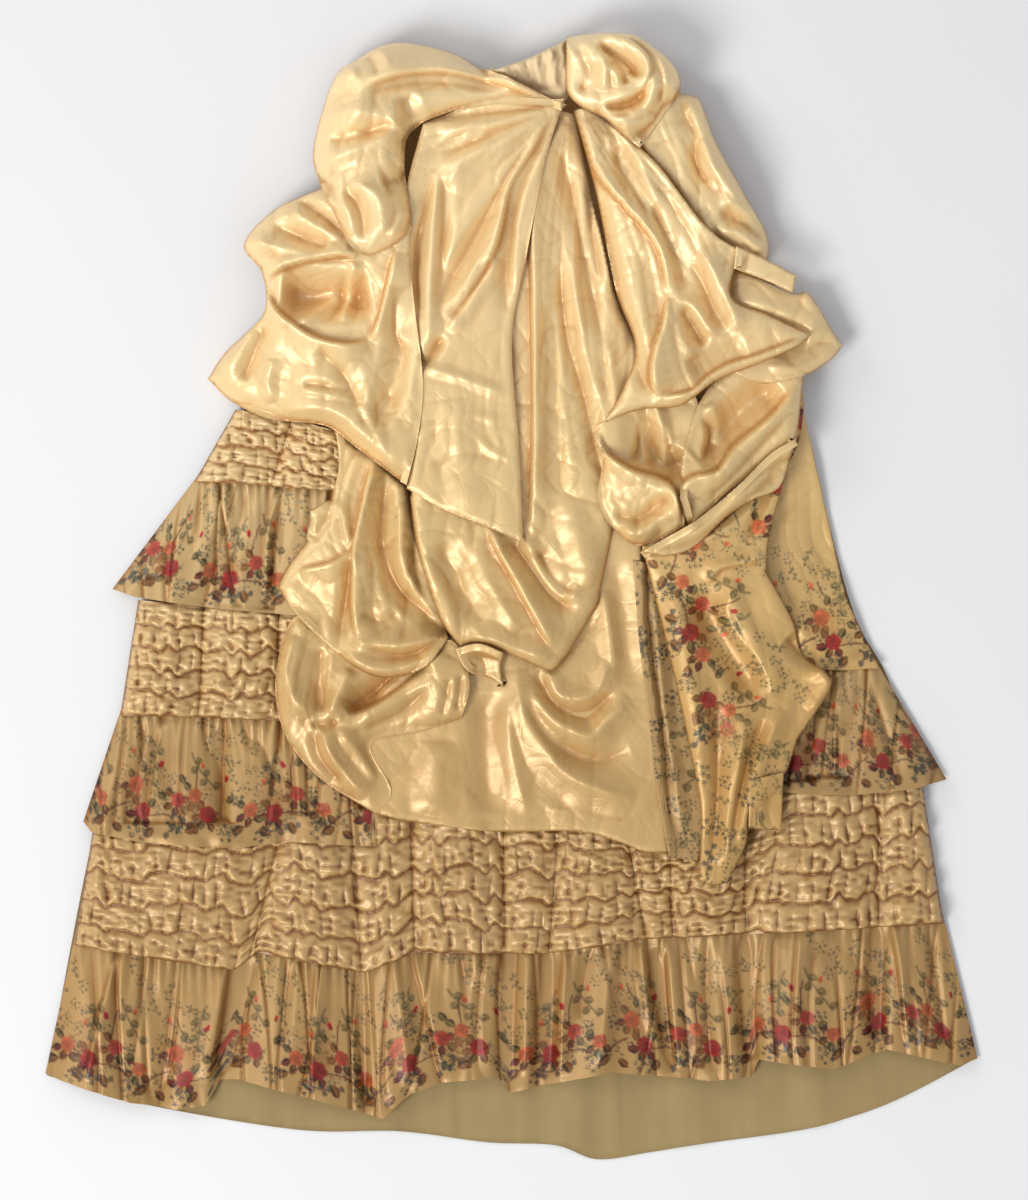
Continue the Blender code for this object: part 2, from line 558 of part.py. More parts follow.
class Pile:
    """Highest cloth so far over each cell of the table."""

    def __init__(self, start):
        self.shape = tuple(int((high - low) / CELL) for low, high in zip(TABLE_LOW, TABLE_HIGH))
        self.cells = np.full(self.shape, start, float)

    def add(self, points, faces, pick):
        """Take in the faces of a surface: pick is np.maximum for tops, np.minimum for undersides."""
        sign = 1 if pick is np.maximum else -1
        for a, b, c in points[faces]:
            low = np.minimum(np.minimum(a, b), c)
            high = np.maximum(np.maximum(a, b), c)
            first = np.maximum(((low[:2] - TABLE_LOW) / CELL - 1).astype(int), 0)
            last = ((high[:2] - TABLE_LOW) / CELL + 2).astype(int)
            x = TABLE_LOW[0] + (np.arange(first[0], min(last[0], self.shape[0])) + 0.5) * CELL
            y = TABLE_LOW[1] + (np.arange(first[1], min(last[1], self.shape[1])) + 0.5) * CELL
            twice = (b[0] - a[0]) * (c[1] - a[1]) - (c[0] - a[0]) * (b[1] - a[1])
            if abs(twice) < 1e-6:
                continue
            gx, gy = np.meshgrid(x, y, indexing="ij")
            shares = []
            clear = np.ones(gx.shape, bool)
            for p, q in ((b, c), (c, a), (a, b)):
                share = ((q[0] - p[0]) * (gy - p[1]) - (gx - p[0]) * (q[1] - p[1])) / twice
                reach = share * abs(twice) / max(np.hypot(*(q - p)[:2]), 1e-6)
                clear &= reach > -0.8 * CELL
                shares.append(share)
            z = shares[0] * a[2] + shares[1] * b[2] + shares[2] * c[2]
            normal = np.cross(b - a, c - a)
            slope = np.hypot(normal[0], normal[1]) / max(abs(normal[2]), 1e-9)
            z = z + sign * slope * 0.75 * CELL
            z = np.minimum(z, high[2]) if sign > 0 else np.maximum(z, low[2])
            part = self.cells[first[0] : first[0] + len(x), first[1] : first[1] + len(y)]
            part[clear] = pick(part, z)[clear]

    def around(self, points, radii, pick):
        """The extreme height within each point's own radius."""
        index = ((points[:, :2] - TABLE_LOW) / CELL).astype(int)
        steps = np.ceil(radii / CELL).astype(int) + 1
        found = np.zeros(len(points))
        spread = self.cells.copy()
        for step in range(1, steps.max() + 1):
            wide = spread.copy()
            wide[1:] = pick(wide[1:], spread[:-1])
            wide[:-1] = pick(wide[:-1], spread[1:])
            spread = wide.copy()
            spread[:, 1:] = pick(spread[:, 1:], wide[:, :-1])
            spread[:, :-1] = pick(spread[:, :-1], wide[:, 1:])
            here = steps == step
            found[here] = spread[index[here, 0], index[here, 1]]
        return found


def fold_points(piece, spacing):
    """Points on each fold's crest and on both of its feet."""
    found = []
    for row in FOLDS:
        if row[0] != piece:
            continue
        crest = smooth_curve(row[2:5], spacing * 1.15)
        run = np.gradient(crest, axis=0)
        side = np.column_stack([-run[:, 1], run[:, 0]]) / np.linalg.norm(run, axis=1)[:, None]
        reach = row[6] * 0.92
        found += [crest, crest + side * reach, crest - side * reach]
    return np.vstack(found) if found else np.zeros((0, 2))


def thin_out(points, taken, least):
    """Keep points, in order, that are no nearer than the least distance to those kept."""
    kept = [tuple(point) for point in taken]
    for point in points:
        near = np.array(kept)
        if np.min(np.hypot(near[:, 0] - point[0], near[:, 1] - point[1])) >= least:
            kept.append(tuple(point))
    return np.array(kept)


def triangulate(piece, spacing):
    """Points and faces that fill a cut, denser along its folds."""
    loop = outline(piece, spacing)
    grid_x, grid_y = np.meshgrid(
        np.arange(loop[:, 0].min(), loop[:, 0].max(), spacing),
        np.arange(loop[:, 1].min(), loop[:, 1].max(), spacing * 0.87),
    )
    grid_x[1::2] += spacing / 2
    lattice = np.column_stack([grid_x.ravel(), grid_y.ravel()])
    inner = np.vstack([fold_points(piece, spacing), lattice])
    inner = inner[is_inside(inner, loop)]
    points = thin_out(inner, loop, spacing * 0.42)
    edges = [(i, (i + 1) % len(loop)) for i in range(len(loop))]
    result = delaunay_2d_cdt([Vector(point) for point in points], edges, [], 1, 0.01)
    plan = np.array([tuple(point) for point in result[0]])
    faces = np.array([face for face in result[2] if len(face) == 3])
    a, b, c = plan[faces].transpose(1, 0, 2)
    turn = (b[:, 0] - a[:, 0]) * (c[:, 1] - a[:, 1]) - (c[:, 0] - a[:, 0]) * (b[:, 1] - a[:, 1])
    faces[turn > 0] = faces[turn > 0][:, ::-1]
    return plan, faces, loop


def edge_reach(points, faces):
    """Longest edge that meets each point."""
    reach = np.zeros(len(points))
    for i, j in ((0, 1), (1, 2), (2, 0)):
        length = np.linalg.norm(points[faces[:, i]][:, :2] - points[faces[:, j]][:, :2], axis=1)
        np.maximum.at(reach, faces[:, i], length)
        np.maximum.at(reach, faces[:, j], length)
    return reach


def slope_at(points, faces):
    """Steepness of the surface at each point, as one over the cosine of its slope."""
    a, b, c = points[faces].transpose(1, 0, 2)
    normal = np.cross(b - a, c - a)
    total = np.zeros((len(points), 3))
    for i in range(3):
        np.add.at(total, faces[:, i], normal)
    return np.linalg.norm(total, axis=1) / np.maximum(np.abs(total[:, 2]), 1e-9)


def border_of(faces):
    """Directed edges that only one face has."""
    edges = np.concatenate([faces[:, [0, 1]], faces[:, [1, 2]], faces[:, [2, 0]]])
    pairs = {tuple(edge) for edge in edges.tolist()}
    return [edge for edge in pairs if edge[::-1] not in pairs]


def closed_wall(under, over, faces):
    """One closed body between an underside and a top that share their faces."""
    count = len(under)
    sides = []
    for a, b in border_of(faces):
        sides += [(a, b, b + count), (a, b + count, a + count)]
    whole = np.vstack([faces + count, faces[:, ::-1], sides])
    return np.vstack([under, over]), whole


def flat_wall(piece, height, thickness, spacing):
    plan, faces, _ = triangulate(piece, spacing)
    under = np.column_stack([plan, np.full(len(plan), height)])
    over = under + (0, 0, thickness)
    return under, over, faces


def tree_of(bodies):
    """One search tree over several bodies."""
    points = []
    faces = []
    for body_points, body_faces in bodies:
        faces += [[int(i) + len(points) for i in face] for face in body_faces]
        points += body_points.tolist()
    return BVHTree.FromPolygons(points, faces)


def meets(points, faces, beneath):
    """Faces that would come nearer than the seam gap to what lies beneath."""
    lowered = points - (0, 0, SEAM_GAP * 0.95)
    tree = BVHTree.FromPolygons(lowered.tolist(), faces.tolist())
    return sorted({pair[0] for pair in tree.overlap(beneath)})


def settle(under, faces, form, beneath):
    """Lower each point of a wall towards its form, as far as what lies beneath lets it."""
    height = under[:, 2].copy()
    least = np.full(len(under), SEAM_GAP)
    for i, (x, y) in enumerate(under[:, :2]):
        hit = beneath.ray_cast((x, y, RAY_START), (0, 0, -1))[0]
        if hit:
            least[i] = hit.z + SEAM_GAP
    target = np.minimum(height, np.maximum(form, least))
    for _ in range(SETTLE_ROUNDS):
        trial = height - (height - target) * SETTLE_SHARE
        caught = meets(np.column_stack([under[:, :2], trial]), faces, beneath)
        while caught:
            held = np.unique(faces[caught])
            if np.all(trial[held] >= height[held]):
                trial = height
                break
            trial[held] = height[held]
            caught = meets(np.column_stack([under[:, :2], trial]), faces, beneath)
        height = trial
    return np.column_stack([under[:, :2], height])


def lowered_whole(points, faces, beneath):
    """How far a stiff piece can come down before it meets what lies beneath."""
    total = 0.0
    step = LONGEST_LOWERING
    while step > SHORTEST_LOWERING:
        trial = points - (0, 0, total + step)
        if trial[:, 2].min() > SEAM_GAP and not meets(trial, faces, beneath):
            total += step
        else:
            step /= 2
    return total


def draped_wall(piece, pile, beneath):
    """A wall over its own form, lifted clear of all that it lies on."""
    plan, faces, loop = triangulate(piece, POINT_SPACING)
    form = level_at(piece, plan) + fold_rise(piece, plan) - edge_drop(piece, plan, loop)
    floor = pile.around(plan, edge_reach(plan, faces), np.maximum) + SEAM_GAP
    under = settle(np.column_stack([plan, np.maximum(form, floor)]), faces, form, beneath)
    under = under - (0, 0, lowered_whole(under, faces, beneath))
    thickness = SATIN_THICKNESS * np.clip(slope_at(under, faces), 1, STEEPEST_THICKENING)
    over = under + np.column_stack([np.zeros((len(plan), 2)), thickness])
    return under, over, faces


def tier_edge(piece, side):
    """Points of a tier's top or hem, from left to right."""
    rows = [line for (name, edge), line in TIER_EDGES.items() if name == piece and edge.endswith(side)]
    return np.array([point for line in rows for point in line], float)


def tier_columns(piece):
    """Columns of a tier: where each crosses the top and the hem, and its place in its flute."""
    top = tier_edge(piece, "top")
    hem = tier_edge(piece, "hem")
    ends = [(top[0, 0], hem[0, 0]), *FLUTE_VALLEYS[piece], (top[-1, 0], hem[-1, 0])]
    columns = []
    for (top_a, hem_a), (top_b, hem_b) in zip(ends, ends[1:]):
        width = (hem_b - hem_a + top_b - top_a) / 2
        count = max(2, round(width / COLUMN_WIDTH))
        rise = min(FLUTE_MOST, max(FLUTE_LEAST, FLUTE_RISE * width))
        for i in range(count):
            share = i / count
            columns.append((top_a + share * (top_b - top_a), hem_a + share * (hem_b - hem_a), share, rise))
    columns.append((*ends[-1], 1.0, 0.0))
    return np.array(columns), top, hem


def tier_wall(row, pile):
    """A gathered band with puffs in its outer points, or a flounce with flutes."""
    piece, thickness, puffs, rows, height_top, height_hem = row
    columns, top, hem = tier_columns(piece)
    down = np.linspace(0, 1, rows + 1)[:, None]
    top_y = np.interp(columns[:, 0], top[:, 0], top[:, 1])
    hem_y = np.interp(columns[:, 1], hem[:, 0], hem[:, 1])
    x = columns[:, 0] * (1 - down) + columns[:, 1] * down
    y = top_y * (1 - down) + hem_y * down
    flute = columns[:, 3] * np.sin(np.pi * columns[:, 2]) ** FLUTE_FULLNESS
    spread = 1.0 if puffs else FLUTE_AT_TOP + (1 - FLUTE_AT_TOP) * down
    form = height_top * (1 - down) + height_hem * down + flute * spread
    if not puffs:
        ripple = np.where(np.arange(len(columns)) % 2, 1.0, -1.0)
        form = form + ripple * (RIPPLE_AT_TOP * (1 - down) + RIPPLE_AT_HEM * down)
    plan = np.column_stack([x.ravel(), y.ravel()])
    across = len(columns)
    cell = np.arange(rows * across).reshape(rows, across)[:, :-1].ravel()
    faces = np.concatenate(
        [
            np.column_stack([cell, cell + across, cell + 1]),
            np.column_stack([cell + 1, cell + across, cell + across + 1]),
        ]
    )
    floor = pile.around(plan, edge_reach(plan, faces), np.maximum) + SEAM_GAP
    height = np.maximum(form, floor.reshape(form.shape))
    if puffs:
        height = np.tile(height.max(axis=0), (rows + 1, 1))
    under = np.column_stack([plan, height.ravel()])
    lift = np.full((rows + 1, across), thickness)
    if puffs:
        line = np.arange(rows + 1)[:, None] * puffs / rows
        swing = np.cos(np.pi * (np.arange(across) + np.floor(line)))
        lift = lift + np.sin(np.pi * (line % 1)) ** FLUTE_FULLNESS * (PUFF_HEIGHT + PUFF_SWING * swing)
    over = under + np.column_stack([np.zeros((len(plan), 2)), lift.ravel()])
    if puffs:
        return plain_inside(under, over, rows, across)
    a, b, c = under[faces[0]]
    turn = (b[0] - a[0]) * (c[1] - a[1]) - (c[0] - a[0]) * (b[1] - a[1])
    if turn > 0:
        faces = faces[:, ::-1]
    return (*closed_wall(under, over, faces), over, faces)


def plain_inside(under, over, rows, across):
    """A band whose inside keeps only its first, middle and last rows."""
    kept = [0, rows // 2, rows]
    inner = np.vstack([under[k * across : (k + 1) * across] for k in kept])
    base = len(over)
    outer_faces = []
    for r in range(rows):
        for c in range(across - 1):
            a = r * across + c
            outer_faces += [(a, a + 1, a + across), (a + 1, a + across + 1, a + across)]
    faces = list(outer_faces)
    for r in range(2):
        for c in range(across - 1):
            a = base + r * across + c
            faces += [(a, a + across, a + 1), (a + 1, a + across, a + across + 1)]
    for row, inner_row in ((0, 0), (rows, 2)):
        for c in range(across - 1):
            a = row * across + c
            b = base + inner_row * across + c
            quad = [(a, b, a + 1), (a + 1, b, b + 1)]
            faces += quad if row == 0 else [face[::-1] for face in quad]
    for column, flip in ((0, False), (across - 1, True)):
        centre = base + across + column
        fan = [(centre, r * across + column, (r + 1) * across + column) for r in range(rows)]
        fan.append((centre, base + column, column))
        fan.append((centre, rows * across + column, base + 2 * across + column))
        faces += [face[::-1] for face in fan] if flip else fan
    return np.vstack([over, inner]), np.array(faces), over, np.array(outer_faces)


def hidden_mound(ceiling):
    """The folded cloth under the drapery: one rounded solid just below the walls."""
    plan, faces, loop = triangulate("hidden_layers", MOUND_SPACING)
    roof = ceiling.around(plan, edge_reach(plan, faces), np.minimum)
    highest = np.maximum(roof - SEAM_GAP, MOUND_LEAST)
    top = np.maximum(highest - edge_drop("hidden_layers", plan, loop), MOUND_FLOOR + PANEL_THICKNESS)
    under = np.column_stack([plan, np.full(len(plan), MOUND_FLOOR)])
    over = np.column_stack([plan, top])
    return under, over, faces


def hook_body(x, y, height):
    """A flat wire hook: a bent strip with a raised bill."""
    half = HOOK_WIDTH / 2
    side = [(run, rise) for run, rise in HOOK_SIDE]
    near = np.array([(x - half, y - run, height + rise) for run, rise in side])
    far = near + (HOOK_WIDTH, 0, 0)
    count = len(side)
    whole = delaunay_2d_cdt([Vector(point) for point in side], [], [list(range(count))], 1, 0.001)
    cap = np.array([face for face in whole[2]])
    ring = [(i, (i + 1) % count) for i in range(count)]
    sides = [face for i, j in ring for face in ((i, i + count, j), (j, i + count, j + count))]
    a, b, c = (Vector(side[k]) for k in cap[0])
    if (b - a).cross(c - a) < 0:
        sides = [face[::-1] for face in sides]
    return np.vstack([near, far]), np.vstack([cap, cap[:, ::-1] + count, sides])


def material(name, colour, roughness, metallic):
    made = bpy.data.materials.new(name)
    made.use_nodes = True
    shader = made.node_tree.nodes["Principled BSDF"]
    shader.inputs["Base Color"].default_value = (*colour, 1.0)
    shader.inputs["Roughness"].default_value = roughness
    shader.inputs["Metallic"].default_value = metallic
    return made


def signed_volume(points, faces):
    """Volume inside the faces: below nought where they point inwards."""
    total = 0.0
    for face in faces:
        for i in range(1, len(face) - 1):
            total += np.dot(points[face[0]], np.cross(points[face[i]], points[face[i + 1]]))
    return total / 6


def looks_of(piece):
    if piece in ("back_panel", "front_panel", "waistband", "hidden_layers"):
        return LINING, 0.75, 0.0
    if piece.startswith("hook"):
        return STEEL, 0.4, 0.9
    if "flounce" in piece or piece in ("facing_strip", "floral_drape", "square_flap", "right_side_panel"):
        return PRINTED, 0.5, 0.0
    return SATIN, 0.35, 0.0


DRAPERY = (
    "apron_hem_panel",
    "facing_strip",
    "floral_drape",
    "square_flap",
    "left_swag",
    "lower_left_loop",
    "centre_drape",
    "cuff_flap",
    "swag_left",
    "swag_right",
    "sash_band",
    "right_wing",
    "right_back_piece",
    "right_drape",
    "flap_band",
    "waistband",
    "front_fan",
    "knot",
    "puff_upper_left",
    "puff_lower_left",
)


def dress_bodies():
    """Every piece in plan millimetres, from the table up."""
    bodies = {}
    pile = Pile(0.0)
    ceiling = Pile(CEILING_START)

    def lay(piece, under, over, faces):
        pile.add(over, faces, np.maximum)
        bodies[piece] = closed_wall(under, over, faces)

    lay("back_panel", *flat_wall("back_panel", 0.0, PANEL_THICKNESS, PANEL_SPACING))
    lay("front_panel", *flat_wall("front_panel", PANEL_THICKNESS + SEAM_GAP, PANEL_THICKNESS, PANEL_SPACING))
    for row in TIERS:
        points, faces, over, over_faces = tier_wall(row, pile)
        down = lowered_whole(points, faces, tree_of(bodies.values()))
        bodies[row[0]] = (points - (0, 0, down), faces)
        pile.add(over - (0, 0, down), over_faces, np.maximum)
    lay("right_side_panel", *draped_wall("right_side_panel", pile, tree_of(bodies.values())))
    mound_plan, mound_faces, _ = triangulate("hidden_layers", MOUND_SPACING)
    reserve = np.column_stack([mound_plan, np.full(len(mound_plan), MOUND_LEAST)])
    pile.add(reserve, mound_faces, np.maximum)
    for piece in DRAPERY:
        beneath = tree_of([*bodies.values(), (reserve, mound_faces)])
        under, over, faces = draped_wall(piece, pile, beneath)
        ceiling.add(under, faces, np.minimum)
        lay(piece, under, over, faces)
    bodies["hidden_layers"] = closed_wall(*hidden_mound(ceiling))
    beneath = tree_of(bodies.values())
    for name, x, y in HOOKS:
        points, faces = hook_body(x, y, HOOK_START)
        points = points - (0, 0, lowered_whole(points, faces, beneath))
        bodies[name] = (points, faces)
    return bodies


def place(points, centre):
    """From the table's millimetres to metres, with the waist towards +Y."""
    x = points[:, 0] - centre[0]
    y = centre[1] - points[:, 1]
    return np.column_stack([x, y, points[:, 2]]) * MM


def main():
    for old in list(bpy.data.objects):
        bpy.data.objects.remove(old, do_unlink=True)
    bodies = dress_bodies()
    everything = np.vstack([points for points, _ in bodies.values()])
    centre = (everything.min(axis=0) + everything.max(axis=0)) / 2
    for name, (points, faces) in bodies.items():
        placed = place(points, centre)
        faces = [tuple(int(i) for i in face) for face in faces]
        if signed_volume(placed, faces) < 0:
            faces = [face[::-1] for face in faces]
        mesh = bpy.data.meshes.new(name)
        mesh.from_pydata(placed.tolist(), [], faces)
        mesh.materials.append(material(name + "_look", *looks_of(name)))
        solid = bpy.data.objects.new(name, mesh)
        bpy.context.scene.collection.objects.link(solid)


main()
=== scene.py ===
# %% [markdown]
# # A bustle dress laid flat
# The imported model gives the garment's frame. This lesson dresses it: each piece of cloth is worked out
# again as a fine shell from its cut, its levels and its folds, and it gets satin, print or lining.
# The plan is in millimetres on the laying-out table, x to the right and y towards the hem.

import bpy
import numpy as np
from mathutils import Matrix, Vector
from mathutils.geometry import delaunay_2d_cdt


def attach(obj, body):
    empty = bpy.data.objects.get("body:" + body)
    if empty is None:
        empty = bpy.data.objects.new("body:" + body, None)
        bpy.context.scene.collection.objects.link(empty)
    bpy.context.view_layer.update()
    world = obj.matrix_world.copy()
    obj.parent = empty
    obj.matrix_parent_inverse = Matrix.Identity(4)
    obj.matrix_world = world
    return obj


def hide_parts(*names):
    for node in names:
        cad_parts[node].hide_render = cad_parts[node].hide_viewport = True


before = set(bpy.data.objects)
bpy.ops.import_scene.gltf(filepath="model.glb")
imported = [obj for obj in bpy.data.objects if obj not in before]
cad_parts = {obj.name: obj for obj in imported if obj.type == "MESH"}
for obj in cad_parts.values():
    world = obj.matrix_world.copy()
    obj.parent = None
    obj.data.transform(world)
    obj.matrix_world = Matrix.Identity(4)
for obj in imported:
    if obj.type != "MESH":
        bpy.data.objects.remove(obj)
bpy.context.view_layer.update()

# %% [markdown]
# ## Sizes
# The drapery is cut into a fine lattice, and the printed flounces into a finer one, because their
# flowers are painted into the points of the cloth. The table's middle is the middle of the CAD box.

# %% Sizes of the shells
MM = 0.001
GAP = 0.5
CELL = 3.0
TABLE_LOW = (10.0, 0.0)
TABLE_HIGH = (1020.0, 1200.0)
CENTRE = (511.5, 599.4)
SATIN_SPACING = 2.2
PRINT_SPACING = 1.4
PANEL_SPACING = 6.0
BAND_SPACING = 1.5
HEM_TURN = 2.0
PANEL_TURN = 0.4


# %% [markdown]
# ## The same cuts, levels and folds as the solids
# Each row is one edge of a piece, one set of levels or one fold. The folds here have more rows than the
# solids, because finer creases belong to the looks.

# %% Cuts, levels and folds
CUT = (
    ("back_panel", "left seam", (426, 112), (335, 235), (243, 412), (152, 602), (94, 832), (47, 1075)),
    (
        "back_panel", "hem", (47, 1075), (130, 1101), (294, 1129), (400, 1131), (488, 1142), (556, 1145),
        (597, 1159), (650, 1152), (700, 1144), (800, 1130), (850, 1117), (889, 1103), (930, 1083),
        (976, 1058),
    ),
    (
        "back_panel", "right seam", (976, 1058), (940, 922), (895, 700), (850, 602), (797, 388),
        (764, 250), (688, 112),
    ),
    ("front_panel", "left seam", (432, 118), (341, 240), (250, 415), (160, 606), (104, 834), (62, 1046)),
    ("front_panel", "hem", (62, 1046), (250, 1060), (500, 1062), (700, 1048), (880, 1026), (958, 1030)),
    (
        "front_panel", "right seam", (958, 1030), (931, 922), (887, 704), (842, 604), (790, 390),
        (757, 254), (682, 118),
    ),
    (
        "right_side_panel", "side seam", (797, 392), (809, 439), (828, 521), (844, 592), (855, 619),
        (878, 668),
    ),
    ("right_side_panel", "lower edge", (878, 668), (831, 670), (790, 664)),
    ("right_side_panel", "inner edge", (790, 664), (768, 600), (758, 545), (775, 470), (797, 392)),
    ("apron_hem_panel", "top", (425, 652), (520, 590), (590, 520), (642, 516)),
    (
        "apron_hem_panel", "opening", (642, 516), (640, 590), (646, 660), (655, 721), (661, 790),
        (668, 850),
    ),
    (
        "apron_hem_panel", "hem", (668, 850), (643, 850), (617, 840), (577, 830), (494, 830),
        (411, 820), (376, 812),
    ),
    ("apron_hem_panel", "left edge", (376, 812), (352, 765), (385, 700), (425, 652)),
    ("facing_strip", "top", (632, 560), (665, 566)),
    ("facing_strip", "drape side", (665, 566), (684, 640), (700, 720), (710, 800), (697, 859)),
    ("facing_strip", "hem", (697, 859), (668, 856)),
    ("facing_strip", "opening side", (668, 856), (656, 790), (648, 721), (638, 640), (632, 560)),
    ("floral_drape", "top", (642, 552), (694, 540), (745, 500), (786, 452), (797, 400)),
    ("floral_drape", "upper right", (797, 400), (799, 425), (782, 483), (767, 538), (764, 572)),
    (
        "floral_drape", "right edge", (764, 572), (790, 620), (800, 653), (824, 673), (826, 691),
        (795, 738),
    ),
    (
        "floral_drape", "lower right", (795, 738), (784, 769), (764, 789), (748, 809), (744, 842),
        (726, 880),
    ),
    ("floral_drape", "tip", (726, 880), (710, 883), (697, 878)),
    (
        "floral_drape", "left edge", (697, 878), (699, 809), (686, 738), (670, 664), (652, 590),
        (642, 552),
    ),
    ("square_flap", "top", (746, 778), (781, 770)),
    ("square_flap", "right side", (781, 770), (779, 828)),
    ("square_flap", "hem", (779, 828), (746, 826)),
    ("square_flap", "left side", (746, 826), (746, 778)),
    ("left_swag", "hem over the band", (336, 424), (357, 447), (379, 457), (388, 471), (407, 487)),
    ("left_swag", "loop side", (407, 487), (420, 544), (444, 610), (449, 638)),
    ("left_swag", "roll", (449, 638), (430, 663), (405, 675), (374, 675), (339, 653), (296, 612), (279, 587)),
    ("left_swag", "tip", (279, 587), (288, 568), (308, 542)),
    ("left_swag", "box side", (308, 542), (312, 511)),
    ("left_swag", "box top", (312, 511), (332, 500)),
    ("left_swag", "left side", (332, 500), (340, 466), (336, 424)),
    (
        "lower_left_loop", "outer edge", (339, 636), (296, 617), (277, 680), (287, 735), (322, 778),
        (376, 812),
    ),
    ("lower_left_loop", "lower edge", (376, 812), (392, 790), (372, 744), (419, 731), (462, 718)),
    ("lower_left_loop", "inner edge", (462, 718), (470, 680), (452, 640), (410, 655), (339, 636)),
    (
        "centre_drape", "right side", (575, 117), (592, 200), (616, 300), (640, 360), (634, 430),
        (613, 527), (597, 604),
    ),
    (
        "centre_drape", "roll", (597, 604), (577, 638), (562, 660), (548, 670), (514, 655), (478, 643),
        (461, 646),
    ),
    ("centre_drape", "left side", (461, 646), (444, 624), (430, 587), (417, 544), (411, 498)),
    (
        "centre_drape", "under the fan", (411, 498), (430, 472), (500, 452), (500, 340), (515, 250),
        (558, 114),
    ),
    ("cuff_flap", "top", (455, 648), (480, 643), (504, 652)),
    ("cuff_flap", "right side", (504, 652), (501, 668), (504, 687)),
    ("cuff_flap", "lower edge", (504, 687), (492, 678), (468, 670), (455, 648)),
    (
        "swag_left", "lip", (613, 418), (596, 429), (593, 443), (602, 460), (596, 500), (613, 530),
        (640, 546), (682, 529),
    ),
    ("swag_left", "inner edge", (682, 529), (684, 500), (700, 440), (688, 390), (648, 390), (613, 418)),
    (
        "swag_right", "lip", (677, 500), (690, 527), (719, 498), (742, 479), (767, 458), (792, 440),
        (801, 380),
    ),
    ("swag_right", "inner edge", (801, 380), (760, 360), (706, 392), (682, 450), (677, 500)),
    ("sash_band", "upper edge", (656, 543), (694, 521), (732, 490), (767, 456), (793, 440)),
    (
        "sash_band", "lower edge", (793, 440), (778, 487), (751, 500), (723, 519), (694, 546),
        (667, 556), (638, 553),
    ),
    ("sash_band", "tip", (638, 553), (656, 543)),
    ("right_wing", "upper edge", (712, 286), (732, 273), (789, 295), (807, 297), (832, 335), (841, 347)),
    ("right_wing", "lower edge", (841, 347), (828, 362), (801, 378), (759, 386), (724, 372)),
    ("right_wing", "inner edge", (724, 372), (704, 330), (712, 286)),
    (
        "right_back_piece", "outer edge", (679, 96), (699, 103), (715, 144), (744, 197), (764, 230),
        (769, 250),
    ),
    ("right_back_piece", "lower edge", (769, 250), (764, 264), (740, 266), (712, 250)),
    ("right_back_piece", "inner edge", (712, 250), (671, 190), (640, 150), (652, 120), (679, 96)),
    (
        "right_drape", "waist side", (573, 115), (590, 116), (618, 137), (654, 169), (701, 230),
        (738, 256),
    ),
    ("right_drape", "wing side", (738, 256), (728, 300), (765, 318), (808, 338)),
    (
        "right_drape", "roll", (808, 338), (790, 352), (753, 368), (713, 384), (679, 408), (640, 412),
        (603, 424),
    ),
    (
        "right_drape", "centre side", (603, 424), (622, 390), (634, 350), (614, 290), (596, 200),
        (573, 115),
    ),
    ("flap_band", "upper edge", (733, 251), (762, 263), (793, 279)),
    ("flap_band", "end", (793, 279), (790, 297)),
    ("flap_band", "lower edge", (790, 297), (762, 284), (731, 273)),
    ("flap_band", "fold", (731, 273), (733, 251)),
    ("waistband", "back edge", (486, 76), (505, 70), (533, 60), (566, 44)),
    ("waistband", "front edge", (566, 44), (570, 80), (563, 106), (530, 96), (486, 76)),
    (
        "knot", "outer edge", (566, 42), (601, 38), (630, 40), (650, 50), (673, 71), (679, 95),
        (662, 122), (638, 155),
    ),
    (
        "knot", "inner edge", (638, 155), (616, 138), (600, 124), (579, 114), (566, 99), (565, 71),
        (566, 42),
    ),
    ("front_fan", "waist", (562, 110), (520, 104), (470, 112), (424, 130)),
    ("front_fan", "left edge", (424, 130), (408, 192), (398, 269), (396, 304), (400, 334)),
    ("front_fan", "lappet side", (400, 334), (422, 362), (418, 392), (412, 470), (408, 490)),
    ("front_fan", "lappet hem", (408, 490), (442, 510), (485, 527), (523, 544)),
    (
        "front_fan", "centre valley", (523, 544), (519, 450), (512, 340), (526, 262), (544, 170),
        (562, 110),
    ),
    (
        "puff_upper_left", "outer edge", (487, 75), (449, 53), (395, 45), (357, 63), (334, 84),
        (314, 153), (324, 193),
    ),
    (
        "puff_upper_left", "lower edge", (324, 193), (338, 222), (353, 252), (372, 261), (395, 252),
        (412, 238),
    ),
    (
        "puff_upper_left", "fan side", (412, 238), (412, 214), (406, 170), (416, 134), (480, 112),
        (566, 113),
    ),
    ("puff_upper_left", "waist edge", (566, 113), (530, 95), (487, 75)),
    (
        "puff_lower_left", "top", (330, 188), (277, 212), (246, 247), (264, 276), (265, 316), (226, 352),
        (208, 379),
    ),
    ("puff_lower_left", "lower edge", (208, 379), (231, 401), (271, 420), (326, 427), (359, 450), (408, 487)),
    ("puff_lower_left", "right side", (408, 487), (419, 440), (424, 385), (416, 312), (412, 270), (412, 228)),
    (
        "puff_lower_left", "under the puff", (412, 228), (393, 242), (373, 250), (360, 243), (347, 217),
        (330, 188),
    ),
    (
        "hidden_layers", "left side", (450, 92), (350, 120), (345, 235), (290, 335), (305, 395),
        (354, 425),
    ),
    (
        "hidden_layers", "lower left", (354, 425), (358, 560), (358, 640), (384, 715), (388, 776),
        (440, 786),
    ),
    (
        "hidden_layers", "lower edge", (440, 786), (640, 786), (735, 770), (748, 640), (752, 540),
        (770, 440),
    ),
    (
        "hidden_layers", "right side", (770, 440), (785, 370), (800, 345), (740, 230), (690, 130),
        (640, 80), (450, 92),
    ),
)

